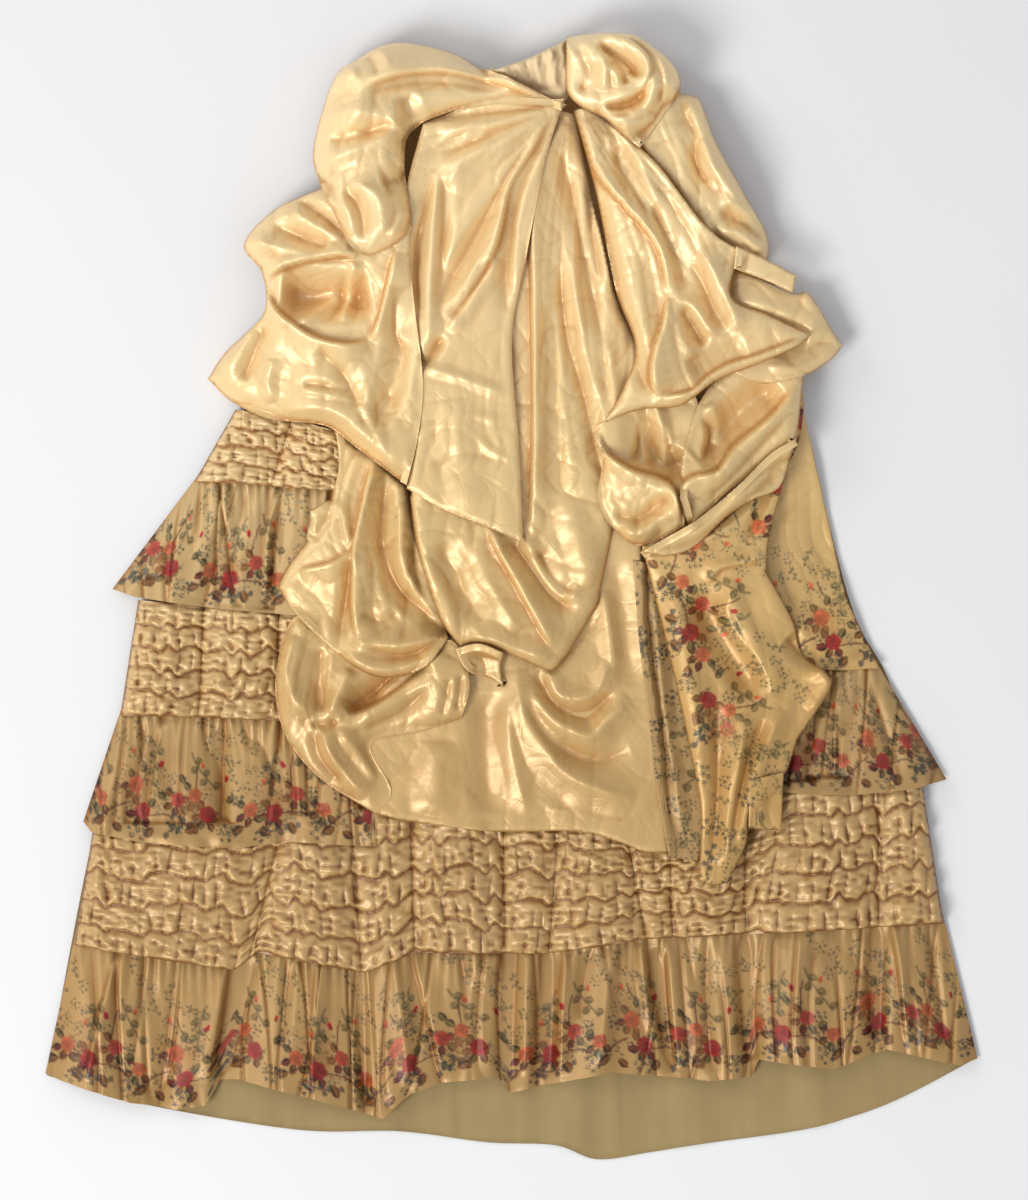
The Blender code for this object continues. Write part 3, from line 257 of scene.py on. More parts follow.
# Height of each piece above the table at a few places, in millimetres.
LEVELS = (
    ("back_panel", (500, 600, 0.8)),
    ("front_panel", (500, 600, 2.6)),
    ("right_side_panel", (845, 520, 6), (870, 660, 9), (790, 480, 15), (780, 620, 19)),
    ("apron_hem_panel", (400, 812, 27), (520, 830, 27), (650, 840, 31), (520, 700, 35), (640, 620, 33)),
    ("facing_strip", (640, 600, 23), (660, 720, 23), (690, 850, 27)),
    (
        "floral_drape", (650, 570, 41), (690, 720, 45), (705, 870, 39), (760, 760, 43), (815, 680, 35),
        (795, 420, 23),
    ),
    ("square_flap", (760, 800, 41)),
    (
        "left_swag", (400, 480, 35), (350, 450, 27), (350, 560, 43), (292, 588, 31), (380, 655, 45),
        (430, 600, 37),
    ),
    (
        "lower_left_loop", (290, 680, 35), (300, 740, 37), (370, 800, 31), (440, 690, 51),
        (395, 690, 31), (330, 720, 41),
    ),
    (
        "centre_drape", (568, 130, 37), (560, 350, 41), (560, 470, 47), (430, 520, 49), (500, 640, 55),
        (600, 560, 45),
    ),
    ("cuff_flap", (480, 640, 47), (480, 688, 41)),
    ("swag_left", (610, 520, 49), (640, 540, 53), (598, 445, 53), (660, 420, 41), (676, 500, 57)),
    ("swag_right", (690, 520, 53), (720, 480, 61), (770, 430, 55), (795, 395, 45), (720, 410, 41)),
    ("sash_band", (650, 548, 47), (720, 505, 51), (785, 455, 35)),
    ("right_wing", (725, 290, 41), (795, 305, 39), (838, 348, 31), (770, 380, 45)),
    ("right_back_piece", (690, 115, 53), (722, 180, 59), (758, 245, 45), (680, 190, 53)),
    (
        "right_drape", (580, 125, 49), (650, 230, 59), (620, 300, 49), (660, 370, 63), (710, 330, 53),
        (795, 345, 55),
    ),
    ("flap_band", (760, 270, 49)),
    ("waistband", (500, 76, 45), (555, 60, 50), (540, 95, 42)),
    ("knot", (600, 55, 89), (655, 80, 85), (580, 90, 73), (640, 130, 73)),
    (
        "front_fan", (552, 120, 51), (440, 150, 49), (424, 132, 56), (408, 200, 56), (480, 114, 55),
        (430, 300, 47), (402, 280, 50), (500, 300, 51), (450, 400, 53), (510, 530, 59),
    ),
    (
        "puff_upper_left", (450, 75, 67), (365, 90, 83), (335, 150, 77), (375, 200, 85), (400, 235, 81),
        (550, 108, 55),
    ),
    (
        "puff_lower_left", (290, 220, 57), (265, 255, 59), (220, 376, 27), (265, 405, 37),
        (330, 415, 53), (395, 460, 59),
    ),
    ("puff_lower_left", (340, 250, 67), (395, 245, 67), (330, 380, 59), (392, 350, 57)),
)

# Edge of each piece: how far it rolls in, and how far it drops there.
EDGE_ROLLS = {
    "right_side_panel": (9, 2),
    "apron_hem_panel": (7, 2),
    "facing_strip": (5, 1),
    "floral_drape": (10, 5),
    "square_flap": (3, 1),
    "left_swag": (16, 10),
    "lower_left_loop": (20, 14),
    "centre_drape": (18, 13),
    "cuff_flap": (3, 1.5),
    "swag_left": (18, 14),
    "swag_right": (16, 13),
    "sash_band": (6, 3),
    "right_wing": (10, 7),
    "right_back_piece": (26, 36),
    "right_drape": (14, 10),
    "flap_band": (2.5, 1.2),
    "waistband": (8, 18),
    "knot": (32, 54),
    "front_fan": (7, 4),
    "puff_upper_left": (44, 62),
    "puff_lower_left": (26, 32),
}

# Edges that roll otherwise than the rest of their piece, because the cloth goes on beside or under a
# neighbour there: how far each rolls in, and how far it drops.
JOINED_EDGES = {
    ("puff_upper_left", "fan side"): (26, 30),
    ("puff_upper_left", "waist edge"): (10, 8),
    ("puff_upper_left", "lower edge"): (20, 18),
    ("puff_lower_left", "right side"): (12, 6),
    ("puff_lower_left", "under the puff"): (5, 3),
    ("right_back_piece", "inner edge"): (8, 6),
    ("knot", "inner edge"): (14, 12),
    ("swag_left", "inner edge"): (5, 3),
    ("swag_right", "inner edge"): (5, 3),
    ("right_wing", "inner edge"): (5, 3),
    ("right_drape", "waist side"): (5, 3),
    ("centre_drape", "under the fan"): (5, 3),
    ("lower_left_loop", "inner edge"): (5, 3),
    ("lower_left_loop", "lower edge"): (26, 20),
    ("left_swag", "box side"): (3, 1),
    ("left_swag", "box top"): (3, 1),
}

# Folds: piece, form, rise or depth, half width, then the points of its line. A roll is a round ridge and
# a crest a pinched one. A trough is a round valley and a crease a pinched one. An edge is a crest that
# drops at once on the side named by its compass letter, with N at the top of the picture.
FOLDS = (
    ("back_panel", "crest", 2, 5, (446, 1060), (450, 1100), (452, 1140)),
    ("back_panel", "crest", 2, 5, (612, 1060), (616, 1110), (618, 1158)),
    ("back_panel", "trough", 2, 22, (520, 1060), (524, 1100), (530, 1150)),
    ("back_panel", "roll", 3, 22, (570, 1060), (574, 1110), (578, 1158)),
    ("back_panel", "roll", 3, 26, (680, 1050), (690, 1100), (700, 1150)),
    ("back_panel", "roll", 3, 24, (800, 1040), (812, 1080), (824, 1130)),
    ("lower_flounce", "edge_W", 7, 15, (121, 950), (107, 1000), (88, 1080)),
    ("lower_flounce", "crease", 12, 16, (247, 950), (238, 1003), (219, 1078)),
    ("lower_flounce", "edge_E", 6, 14, (228, 955), (220, 1010), (208, 1085)),
    ("lower_flounce", "edge_W", 7, 14, (320, 958), (316, 1010), (312, 1092)),
    ("lower_flounce", "crease", 5, 8, (290, 956), (288, 1000), (284, 1050)),
    ("lower_flounce", "crease", 9, 12, (358, 960), (362, 1030), (366, 1112)),
    ("lower_flounce", "edge_W", 8, 16, (414, 946), (424, 990), (444, 1080)),
    ("lower_flounce", "crest", 5, 12, (392, 950), (402, 1010), (412, 1092)),
    ("lower_flounce", "roll", 7, 16, (470, 944), (484, 974), (498, 950)),
    ("lower_flounce", "crease", 12, 14, (512, 940), (508, 1010), (505, 1084)),
    ("lower_flounce", "crest", 6, 12, (528, 944), (526, 1010), (526, 1078)),
    ("lower_flounce", "crease", 12, 12, (548, 940), (547, 1010), (544, 1082)),
    ("lower_flounce", "edge_W", 7, 12, (566, 952), (562, 1010), (560, 1076)),
    ("lower_flounce", "crease", 5, 9, (590, 946), (584, 980), (580, 1020)),
    ("lower_flounce", "crest", 6, 12, (612, 946), (606, 1000), (600, 1068)),
    ("lower_flounce", "crest", 7, 8, (640, 940), (647, 1000), (658, 1050)),
    ("lower_flounce", "crease", 12, 14, (655, 944), (662, 1006), (672, 1074)),
    ("lower_flounce", "edge_W", 7, 14, (668, 944), (672, 1010), (678, 1070)),
    ("lower_flounce", "crease", 6, 10, (706, 936), (706, 1000), (712, 1074)),
    ("lower_flounce", "crease", 14, 14, (744, 930), (746, 1000), (752, 1064)),
    ("lower_flounce", "crest", 5, 14, (800, 920), (796, 980), (790, 1056)),
    ("lower_flounce", "edge_W", 7, 12, (892, 920), (900, 976), (906, 1044)),
    ("lower_flounce", "crease", 12, 12, (876, 918), (876, 980), (874, 1040)),
    ("lower_flounce", "crease", 6, 10, (926, 920), (936, 980), (944, 1050)),
    ("middle_flounce_left", "edge_W", 6, 14, (163, 716), (158, 760), (148, 836)),
    ("middle_flounce_left", "edge_W", 7, 12, (295, 735), (298, 780), (301, 838)),
    ("middle_flounce_left", "crease", 5, 10, (226, 720), (224, 770), (222, 842)),
    ("middle_flounce_left", "crest", 4, 12, (120, 712), (110, 770), (104, 828)),
    ("upper_flounce_left", "edge_W", 6, 12, (283, 486), (270, 530), (267, 600)),
    ("upper_flounce_left", "crest", 5, 14, (232, 484), (210, 540), (196, 600)),
    ("upper_flounce_left", "crease", 4, 10, (250, 484), (236, 540), (226, 600)),
    ("middle_flounce_right", "edge_W", 6, 12, (838, 668), (835, 720), (834, 780)),
    ("middle_flounce_right", "crease", 5, 10, (866, 670), (884, 730), (900, 782)),
    ("middle_flounce_right", "crest", 4, 12, (806, 668), (800, 730), (796, 784)),
    ("right_side_panel", "trough", 3, 18, (800, 430), (812, 520), (836, 590)),
    ("right_side_panel", "roll", 5, 16, (786, 600), (812, 640), (860, 652)),
    ("right_side_panel", "crease", 3, 10, (775, 520), (800, 500), (822, 478)),
    ("apron_hem_panel", "trough", 8, 20, (485, 690), (486, 760), (491, 815)),
    (
        "apron_hem_panel", "crest", 11, 22, (517, 666), (523, 709), (543, 743), (566, 772), (603, 789),
        (637, 798),
    ),
    ("apron_hem_panel", "crest", 10, 18, (526, 680), (551, 715), (589, 735), (606, 718), (632, 698)),
    ("apron_hem_panel", "crest", 8, 14, (546, 666), (560, 695), (594, 692), (609, 657)),
    ("apron_hem_panel", "crease", 7, 14, (535, 668), (556, 706), (588, 714), (612, 690)),
    ("apron_hem_panel", "crease", 6, 14, (524, 700), (548, 738), (590, 760), (632, 748)),
    ("apron_hem_panel", "roll", 6, 24, (440, 740), (436, 780), (430, 815)),
    ("apron_hem_panel", "crest", 4, 12, (508, 690), (512, 750), (528, 815)),
    ("apron_hem_panel", "trough", 6, 16, (612, 560), (622, 620), (630, 690)),
    ("apron_hem_panel", "crest", 6, 12, (603, 590), (610, 640), (612, 670)),
    ("apron_hem_panel", "crease", 4, 10, (596, 616), (570, 650), (540, 676)),
    ("facing_strip", "crest", 4, 10, (650, 580), (662, 700), (684, 840)),
    ("facing_strip", "crease", 3, 7, (646, 600), (655, 700), (670, 800)),
    ("floral_drape", "trough", 16, 24, (701, 588), (710, 617), (731, 650), (758, 698)),
    ("floral_drape", "crest", 12, 22, (736, 579), (724, 608), (736, 636), (758, 662), (772, 698)),
    ("floral_drape", "edge_S", 7, 14, (706, 584), (719, 567), (749, 561), (762, 552)),
    ("floral_drape", "roll", 9, 18, (672, 590), (690, 690), (704, 760)),
    ("floral_drape", "crease", 8, 12, (712, 700), (716, 780), (712, 860)),
    ("floral_drape", "crest", 9, 14, (744, 710), (734, 780), (722, 866)),
    ("floral_drape", "crest", 8, 14, (782, 706), (752, 770), (734, 850)),
    ("floral_drape", "crease", 8, 12, (764, 716), (742, 776), (728, 840)),
    ("floral_drape", "crease", 14, 14, (784, 636), (803, 655), (820, 668)),
    ("floral_drape", "crest", 8, 12, (806, 664), (824, 682), (806, 712)),
    ("floral_drape", "crest", 5, 10, (790, 420), (776, 480), (756, 536)),
    ("floral_drape", "crease", 6, 9, (782, 440), (764, 500), (742, 548)),
    ("floral_drape", "crest", 4, 10, (700, 540), (738, 520), (760, 494)),
    ("square_flap", "crest", 4, 8, (756, 782), (758, 802), (756, 824)),
    ("left_swag", "edge_W", 12, 20, (376, 459), (361, 524), (356, 555), (355, 600), (360, 640)),
    (
        "left_swag", "crease", 14, 16, (387, 467), (383, 524), (386, 556), (398, 586), (426, 612),
        (448, 634),
    ),
    ("left_swag", "crest", 7, 14, (404, 500), (402, 550), (414, 590), (440, 622)),
    ("left_swag", "crease", 6, 9, (411, 540), (422, 590), (444, 624)),
    ("left_swag", "edge_N", 8, 20, (300, 572), (335, 564), (356, 551)),
    ("left_swag", "crease", 8, 11, (354, 558), (350, 589), (343, 625), (338, 650)),
    ("left_swag", "crest", 11, 16, (352, 640), (384, 646), (420, 642), (447, 638)),
    ("left_swag", "crease", 7, 9, (362, 644), (404, 655), (446, 641)),
    ("left_swag", "crest", 9, 14, (344, 652), (374, 668), (406, 667), (436, 652)),
    ("left_swag", "crease", 5, 8, (312, 513), (311, 532), (318, 536), (331, 511)),
    ("left_swag", "crest", 4, 8, (336, 500), (346, 520), (352, 548)),
    ("left_swag", "crease", 5, 10, (362, 612), (384, 622), (400, 612)),
    ("lower_left_loop", "crest", 12, 18, (300, 634), (289, 664), (294, 692), (312, 716)),
    ("lower_left_loop", "crease", 9, 12, (322, 646), (320, 680), (324, 713)),
    ("lower_left_loop", "crest", 8, 12, (352, 668), (342, 690), (331, 714)),
    ("lower_left_loop", "crease", 18, 16, (346, 712), (378, 690), (411, 673), (432, 660)),
    ("lower_left_loop", "edge_N", 13, 24, (350, 717), (376, 706), (406, 684), (448, 648)),
    ("lower_left_loop", "crease", 5, 8, (364, 728), (400, 712), (430, 686)),
    ("lower_left_loop", "crease", 6, 7, (313, 722), (326, 724), (340, 720)),
    ("lower_left_loop", "crest", 9, 14, (324, 728), (338, 762), (368, 795)),
    ("lower_left_loop", "crease", 7, 10, (316, 728), (322, 756), (344, 784)),
    ("lower_left_loop", "crest", 6, 12, (340, 728), (360, 752), (378, 780)),
    ("lower_left_loop", "crease", 5, 6, (462, 672), (460, 692), (457, 712)),
    ("lower_left_loop", "crease", 4, 6, (450, 676), (446, 700), (442, 716)),
    (
        "centre_drape", "edge_W", 12, 24, (566, 120), (549, 150), (538, 182), (533, 235), (534, 300),
        (535, 420), (532, 540),
    ),
    (
        "centre_drape", "crease", 9, 13, (562, 150), (566, 176), (575, 213), (582, 256), (593, 307),
        (600, 343),
    ),
    (
        "centre_drape", "crease", 8, 12, (560, 262), (561, 295), (567, 343), (585, 405), (596, 452),
        (608, 500),
    ),
    ("centre_drape", "crest", 6, 11, (573, 222), (574, 290), (588, 360), (602, 420)),
    ("centre_drape", "crest", 10, 12, (592, 160), (600, 200), (604, 250), (609, 296)),
    ("centre_drape", "crease", 7, 8, (588, 180), (592, 240), (600, 290)),
    ("centre_drape", "crest", 6, 12, (606, 340), (614, 404), (611, 430), (600, 456)),
    ("centre_drape", "trough", 5, 16, (548, 300), (549, 400), (552, 500)),
    ("centre_drape", "edge_W", 10, 22, (414, 500), (421, 545), (430, 587), (446, 623), (460, 644)),
    ("centre_drape", "edge_W", 11, 22, (488, 527), (502, 555), (522, 592), (540, 624), (555, 650)),
    ("centre_drape", "crease", 9, 14, (504, 534), (527, 563), (551, 596), (577, 612)),
    ("centre_drape", "crest", 8, 14, (520, 536), (548, 575), (582, 602)),
    ("centre_drape", "crease", 12, 13, (536, 548), (552, 578), (574, 594)),
    ("centre_drape", "crest", 9, 16, (466, 634), (494, 640), (520, 650), (552, 660)),
    ("centre_drape", "trough", 8, 18, (440, 540), (462, 590), (490, 618)),
    ("centre_drape", "crest", 5, 14, (470, 540), (494, 590), (520, 632)),
    ("centre_drape", "roll", 6, 18, (562, 500), (578, 540), (590, 588)),
    ("cuff_flap", "crease", 4, 8, (470, 642), (484, 660), (486, 684)),
    (
        "swag_left", "edge_N", 16, 28, (596, 431), (603, 455), (629, 473), (653, 480), (668, 488),
        (675, 505), (676, 524),
    ),
    ("swag_left", "trough", 26, 26, (616, 424), (640, 448), (672, 466), (686, 452)),
    ("swag_left", "crest", 9, 10, (629, 398), (638, 431), (645, 466)),
    ("swag_left", "crest", 9, 10, (650, 396), (660, 431), (664, 468)),
    ("swag_left", "crest", 7, 10, (617, 533), (638, 534), (659, 519), (672, 517)),
    ("swag_left", "crease", 7, 9, (610, 514), (636, 520), (656, 506), (672, 500)),
    ("swag_left", "crease", 5, 8, (612, 540), (640, 545), (664, 530)),
    (
        "swag_right", "edge_W", 14, 24, (679, 512), (680, 491), (692, 480), (716, 474), (734, 449),
        (770, 419), (796, 386),
    ),
    ("swag_right", "trough", 22, 24, (690, 462), (716, 440), (746, 410), (776, 384)),
    ("swag_right", "crease", 6, 9, (698, 508), (722, 486), (754, 452), (790, 412)),
    ("swag_right", "crest", 5, 10, (706, 404), (716, 424), (712, 448)),
    ("sash_band", "crease", 4, 6, (652, 550), (690, 544), (719, 520), (780, 470)),
    ("sash_band", "crest", 4, 8, (660, 546), (700, 530), (740, 494), (784, 452)),
    ("right_wing", "crest", 7, 16, (727, 300), (770, 312), (822, 340)),
    ("right_wing", "trough", 9, 18, (740, 330), (775, 332), (808, 340)),
    ("right_wing", "crease", 6, 7, (732, 262), (728, 290), (726, 306)),
    ("right_wing", "crease", 8, 6, (739, 330), (741, 346), (741, 358)),
    ("right_wing", "crest", 6, 14, (756, 368), (800, 370), (834, 350)),
    (
        "right_back_piece", "crease", 12, 14, (681, 102), (683, 120), (692, 138), (694, 168),
        (706, 188), (728, 208),
    ),
    ("right_back_piece", "crest", 8, 14, (686, 104), (702, 150), (722, 190), (748, 214)),
    ("right_back_piece", "crest", 7, 12, (704, 182), (719, 200), (740, 214), (758, 220)),
    ("right_back_piece", "crease", 8, 12, (716, 214), (738, 226), (762, 246)),
    ("right_back_piece", "crest", 6, 10, (712, 236), (738, 238), (764, 256)),
    (
        "right_drape", "edge_W", 17, 34, (578, 119), (587, 147), (599, 180), (626, 213), (650, 240),
        (662, 267), (667, 300),
    ),
    ("right_drape", "edge_W", 15, 30, (667, 300), (662, 330), (653, 357), (651, 384), (659, 400)),
    ("right_drape", "crease", 13, 20, (648, 208), (664, 240), (677, 270), (684, 296)),
    ("right_drape", "crease", 9, 14, (612, 150), (620, 180), (640, 210), (652, 226)),
    ("right_drape", "crest", 9, 12, (604, 133), (609, 159), (609, 180), (620, 204)),
    (
        "right_drape", "crest", 9, 14, (600, 124), (617, 138), (636, 164), (648, 192), (664, 226),
        (679, 262),
    ),
    (
        "right_drape", "crest", 11, 18, (626, 152), (659, 174), (677, 192), (689, 216), (704, 234),
        (719, 244),
    ),
    ("right_drape", "crease", 7, 12, (640, 152), (670, 178), (696, 212), (716, 232)),
    ("right_drape", "crest", 11, 16, (693, 258), (707, 270), (719, 294), (728, 315), (734, 336)),
    ("right_drape", "crease", 8, 14, (684, 262), (698, 284), (712, 312), (724, 336)),
    ("right_drape", "crest", 8, 12, (670, 302), (689, 309), (704, 330), (716, 340)),
    ("right_drape", "crest", 7, 11, (671, 322), (680, 342), (692, 362)),
    ("right_drape", "crease", 7, 11, (676, 312), (692, 332), (704, 352)),
    (
        "right_drape", "edge_N", 14, 20, (659, 402), (690, 396), (707, 381), (728, 369), (752, 362),
        (776, 353), (806, 341),
    ),
    ("right_drape", "trough", 8, 18, (684, 376), (712, 362), (744, 348)),
    ("right_drape", "crease", 8, 12, (618, 312), (630, 350), (645, 396)),
    ("right_drape", "roll", 6, 14, (628, 260), (638, 310), (644, 350)),
    ("right_drape", "crease", 8, 10, (600, 196), (608, 250), (613, 300), (622, 340)),
    ("waistband", "crest", 5, 6, (500, 72), (508, 82), (512, 92)),
    ("waistband", "crest", 5, 6, (516, 66), (522, 80), (526, 94)),
    ("waistband", "crest", 5, 6, (532, 60), (538, 76), (540, 96)),
    ("waistband", "crest", 5, 6, (548, 52), (553, 72), (555, 98)),
    ("waistband", "crease", 5, 5, (492, 82), (530, 92), (562, 96)),
    (
        "knot", "edge_E", 9, 14, (590, 50), (612, 46), (634, 57), (646, 78), (638, 98), (618, 108),
        (598, 112),
    ),
    ("knot", "crease", 16, 14, (594, 56), (612, 64), (630, 77), (632, 90)),
    ("knot", "crest", 7, 7, (597, 54), (603, 78), (602, 102)),
    ("knot", "crest", 10, 12, (596, 122), (620, 128), (641, 119), (651, 100), (650, 82)),
    ("knot", "crease", 10, 10, (602, 117), (626, 114), (644, 100)),
    ("knot", "crease", 8, 8, (656, 96), (661, 120), (642, 148)),
    ("knot", "crest", 8, 9, (618, 136), (638, 131), (658, 123)),
    ("knot", "crest", 8, 12, (654, 58), (672, 84), (668, 112)),
    ("knot", "crease", 7, 10, (574, 56), (584, 80), (580, 104)),
    ("knot", "edge_W", 7, 11, (612, 42), (642, 52), (660, 76), (662, 104), (648, 126)),
    ("knot", "crease", 6, 8, (606, 70), (622, 82), (624, 96)),
    ("knot", "crest", 6, 7, (600, 74), (614, 84), (616, 98)),
    ("knot", "crest", 5, 8, (570, 58), (580, 72), (584, 96)),
    ("knot", "crease", 6, 7, (590, 116), (608, 124), (632, 122)),
    ("front_fan", "crest", 11, 24, (548, 118), (524, 134), (500, 150), (466, 166), (446, 196)),
    ("front_fan", "crest", 8, 20, (545, 122), (520, 156), (494, 198), (462, 240), (440, 276)),
    (
        "front_fan", "crease", 10, 16, (540, 130), (516, 168), (488, 217), (470, 249), (451, 285),
        (438, 316),
    ),
    (
        "front_fan", "edge_E", 12, 22, (550, 121), (535, 148), (509, 191), (495, 249), (473, 289),
        (446, 327),
    ),
    ("front_fan", "crest", 8, 12, (500, 262), (480, 290), (458, 322), (446, 334)),
    ("front_fan", "crease", 7, 9, (492, 262), (470, 296), (450, 324)),
    ("front_fan", "crease", 9, 14, (553, 124), (535, 162), (516, 212), (507, 270), (506, 320)),
    ("front_fan", "crest", 6, 12, (548, 138), (526, 190), (517, 240), (512, 300)),
    ("front_fan", "crease", 6, 9, (549, 112), (500, 117), (424, 124)),
    ("front_fan", "crest", 6, 10, (549, 114), (499, 130), (436, 138)),
    ("front_fan", "crease", 5, 10, (545, 118), (490, 142), (440, 160)),
    ("front_fan", "crest", 8, 14, (439, 173), (435, 235), (431, 300), (430, 354)),
    ("front_fan", "crease", 7, 9, (436, 178), (428, 209), (420, 236), (417, 278), (419, 318)),
    ("front_fan", "crest", 6, 10, (426, 206), (411, 250), (407, 300), (414, 326)),
    ("front_fan", "crease", 9, 9, (406, 346), (416, 356), (427, 364), (444, 338)),
    ("front_fan", "crease", 6, 10, (444, 180), (444, 250), (440, 310)),
    ("front_fan", "crest", 4, 8, (424, 370), (455, 379), (480, 388), (506, 397)),
    ("front_fan", "crest", 2, 6, (444, 417), (473, 419), (500, 423)),
    ("front_fan", "crest", 2, 6, (416, 441), (445, 424), (473, 408)),
    ("front_fan", "crease", 2, 8, (430, 470), (462, 456), (500, 462)),
    ("front_fan", "roll", 5, 22, (455, 400), (462, 460), (470, 515)),
    ("front_fan", "crest", 2, 6, (468, 430), (490, 452), (512, 462)),
    (
        "puff_upper_left", "edge_S", 10, 22, (362, 98), (395, 84), (430, 78), (466, 80), (501, 88),
        (548, 106),
    ),
    ("puff_upper_left", "crease", 8, 14, (368, 104), (400, 94), (440, 90), (500, 98)),
    ("puff_upper_left", "crest", 6, 9, (378, 56), (388, 66), (392, 80)),
    ("puff_upper_left", "crease", 5, 8, (368, 62), (376, 74), (380, 86)),
    ("puff_upper_left", "crest", 8, 18, (330, 124), (366, 122), (400, 134), (412, 156)),
    ("puff_upper_left", "crest", 9, 14, (326, 172), (359, 158), (403, 142)),
    ("puff_upper_left", "crease", 8, 14, (330, 148), (362, 144), (396, 130)),
    ("puff_upper_left", "trough", 11, 14, (406, 100), (412, 124), (410, 160)),
    ("puff_upper_left", "crease", 15, 18, (384, 192), (400, 186), (410, 178)),
    ("puff_upper_left", "crest", 8, 13, (352, 189), (381, 206), (386, 246)),
    ("puff_upper_left", "crease", 7, 10, (344, 196), (362, 216), (366, 248)),
    ("puff_upper_left", "crest", 8, 8, (392, 247), (402, 230), (410, 217)),
    ("puff_upper_left", "crest", 7, 12, (334, 180), (348, 208), (358, 244)),
    ("puff_upper_left", "crest", 7, 14, (334, 100), (344, 86), (360, 76)),
    ("puff_lower_left", "crest", 9, 13, (294, 216), (319, 231), (346, 247)),
    ("puff_lower_left", "crease", 8, 10, (300, 204), (326, 222), (346, 240)),
    ("puff_lower_left", "crease", 8, 11, (276, 230), (305, 243), (332, 254)),
    ("puff_lower_left", "crest", 9, 12, (256, 246), (286, 254), (318, 260)),
    ("puff_lower_left", "edge_S", 15, 20, (268, 279), (298, 267), (345, 259), (360, 264)),
    ("puff_lower_left", "trough", 34, 26, (282, 296), (318, 300), (352, 300), (374, 296)),
    ("puff_lower_left", "crest", 9, 12, (300, 330), (324, 312), (344, 296)),
    ("puff_lower_left", "crest", 10, 9, (358, 266), (351, 298), (345, 326)),
    (
        "puff_lower_left", "edge_N", 15, 26, (266, 288), (276, 312), (298, 331), (323, 345), (352, 350),
        (372, 346),
    ),
    ("puff_lower_left", "edge_W", 12, 20, (372, 346), (381, 328), (388, 304), (399, 256)),
    ("puff_lower_left", "crest", 8, 14, (262, 305), (247, 345), (224, 376)),
    ("puff_lower_left", "crease", 7, 10, (268, 326), (256, 356), (244, 384)),
    ("puff_lower_left", "crest", 4, 7, (300, 392), (327, 396), (356, 403)),
    ("puff_lower_left", "crease", 4, 7, (304, 386), (330, 390), (358, 394)),
    ("puff_lower_left", "crease", 7, 13, (319, 352), (345, 377), (362, 412)),
    ("puff_lower_left", "trough", 12, 18, (362, 430), (384, 412), (400, 356), (404, 280)),
    ("puff_lower_left", "crest", 7, 14, (284, 412), (340, 416), (394, 466)),
    ("puff_lower_left", "crest", 6, 12, (276, 360), (270, 384), (276, 404)),
    ("puff_lower_left", "crest", 6, 12, (366, 404), (380, 440), (398, 474)),
)

# Flows: piece, number of waves, rise, and the two lines between which small slack folds run.
FLOWS = (
    ("waistband", 12, 6, ((490, 64), (496, 98)), ((562, 44), (566, 108))),
    ("front_fan", 9, 2.2, ((556, 112), (480, 118), (424, 150)), ((560, 114), (524, 240), (510, 360))),
    ("front_fan", 7, 1.6, ((424, 370), (412, 440), (410, 490)), ((508, 360), (516, 450), (523, 540))),
    ("centre_drape", 7, 2.2, ((562, 122), (534, 260), (532, 520)), ((572, 120), (604, 260), (626, 420))),
    ("centre_drape", 8, 2.4, ((412, 500), (424, 570), (458, 642)), ((540, 540), (570, 590), (590, 610))),
    ("right_drape", 8, 2.4, ((576, 120), (620, 240), (650, 400)), ((600, 118), (690, 210), (736, 330))),
    ("left_swag", 8, 2.2, ((340, 430), (322, 540), (330, 650)), ((408, 490), (424, 560), (448, 634))),
    (
        "puff_upper_left", 7, 2.0, ((330, 110), (318, 150), (332, 210)),
        ((410, 100), (404, 170), (408, 236)),
    ),
    (
        "puff_lower_left", 7, 2.0, ((262, 300), (240, 360), (222, 384)),
        ((400, 300), (388, 380), (400, 470)),
    ),
    ("swag_left", 6, 1.6, ((600, 460), (600, 500), (614, 534)), ((672, 490), (676, 508), (680, 526))),
    ("swag_right", 6, 1.8, ((680, 492), (724, 464), (792, 388)), ((690, 524), (742, 478), (796, 438))),
    (
        "right_back_piece", 6, 2.0, ((650, 124), (690, 200), (716, 248)),
        ((698, 106), (740, 196), (768, 248)),
    ),
    (
        "apron_hem_panel", 9, 2.0, ((400, 720), (384, 770), (380, 810)),
        ((640, 600), (650, 720), (664, 846)),
    ),
    ("floral_drape", 7, 1.6, ((660, 570), (686, 700), (700, 870)), ((764, 572), (790, 690), (742, 870))),
    (
        "lower_left_loop", 7, 2.0, ((296, 622), (282, 690), (330, 780)),
        ((340, 640), (330, 722), (372, 790)),
    ),
    ("knot", 6, 1.6, ((568, 50), (580, 84), (596, 120)), ((640, 44), (676, 90), (640, 150))),
    (
        "right_side_panel", 5, 1.4, ((770, 470), (764, 560), (792, 650)),
        ((806, 430), (840, 560), (874, 660)),
    ),
)

# Tiers: piece, rows of puffs, height at the top and at the lower edge.
TIERS = (
    ("lower_flounce", 0, 6, 8),
    ("lower_band", 5, 8, 8),
    ("middle_flounce_left", 0, 9, 17),
    ("middle_band_left", 5, 10, 10),
    ("upper_flounce_left", 0, 10, 17),
    ("upper_band_left", 4, 10, 10),
    ("middle_flounce_right", 0, 9, 17),
)

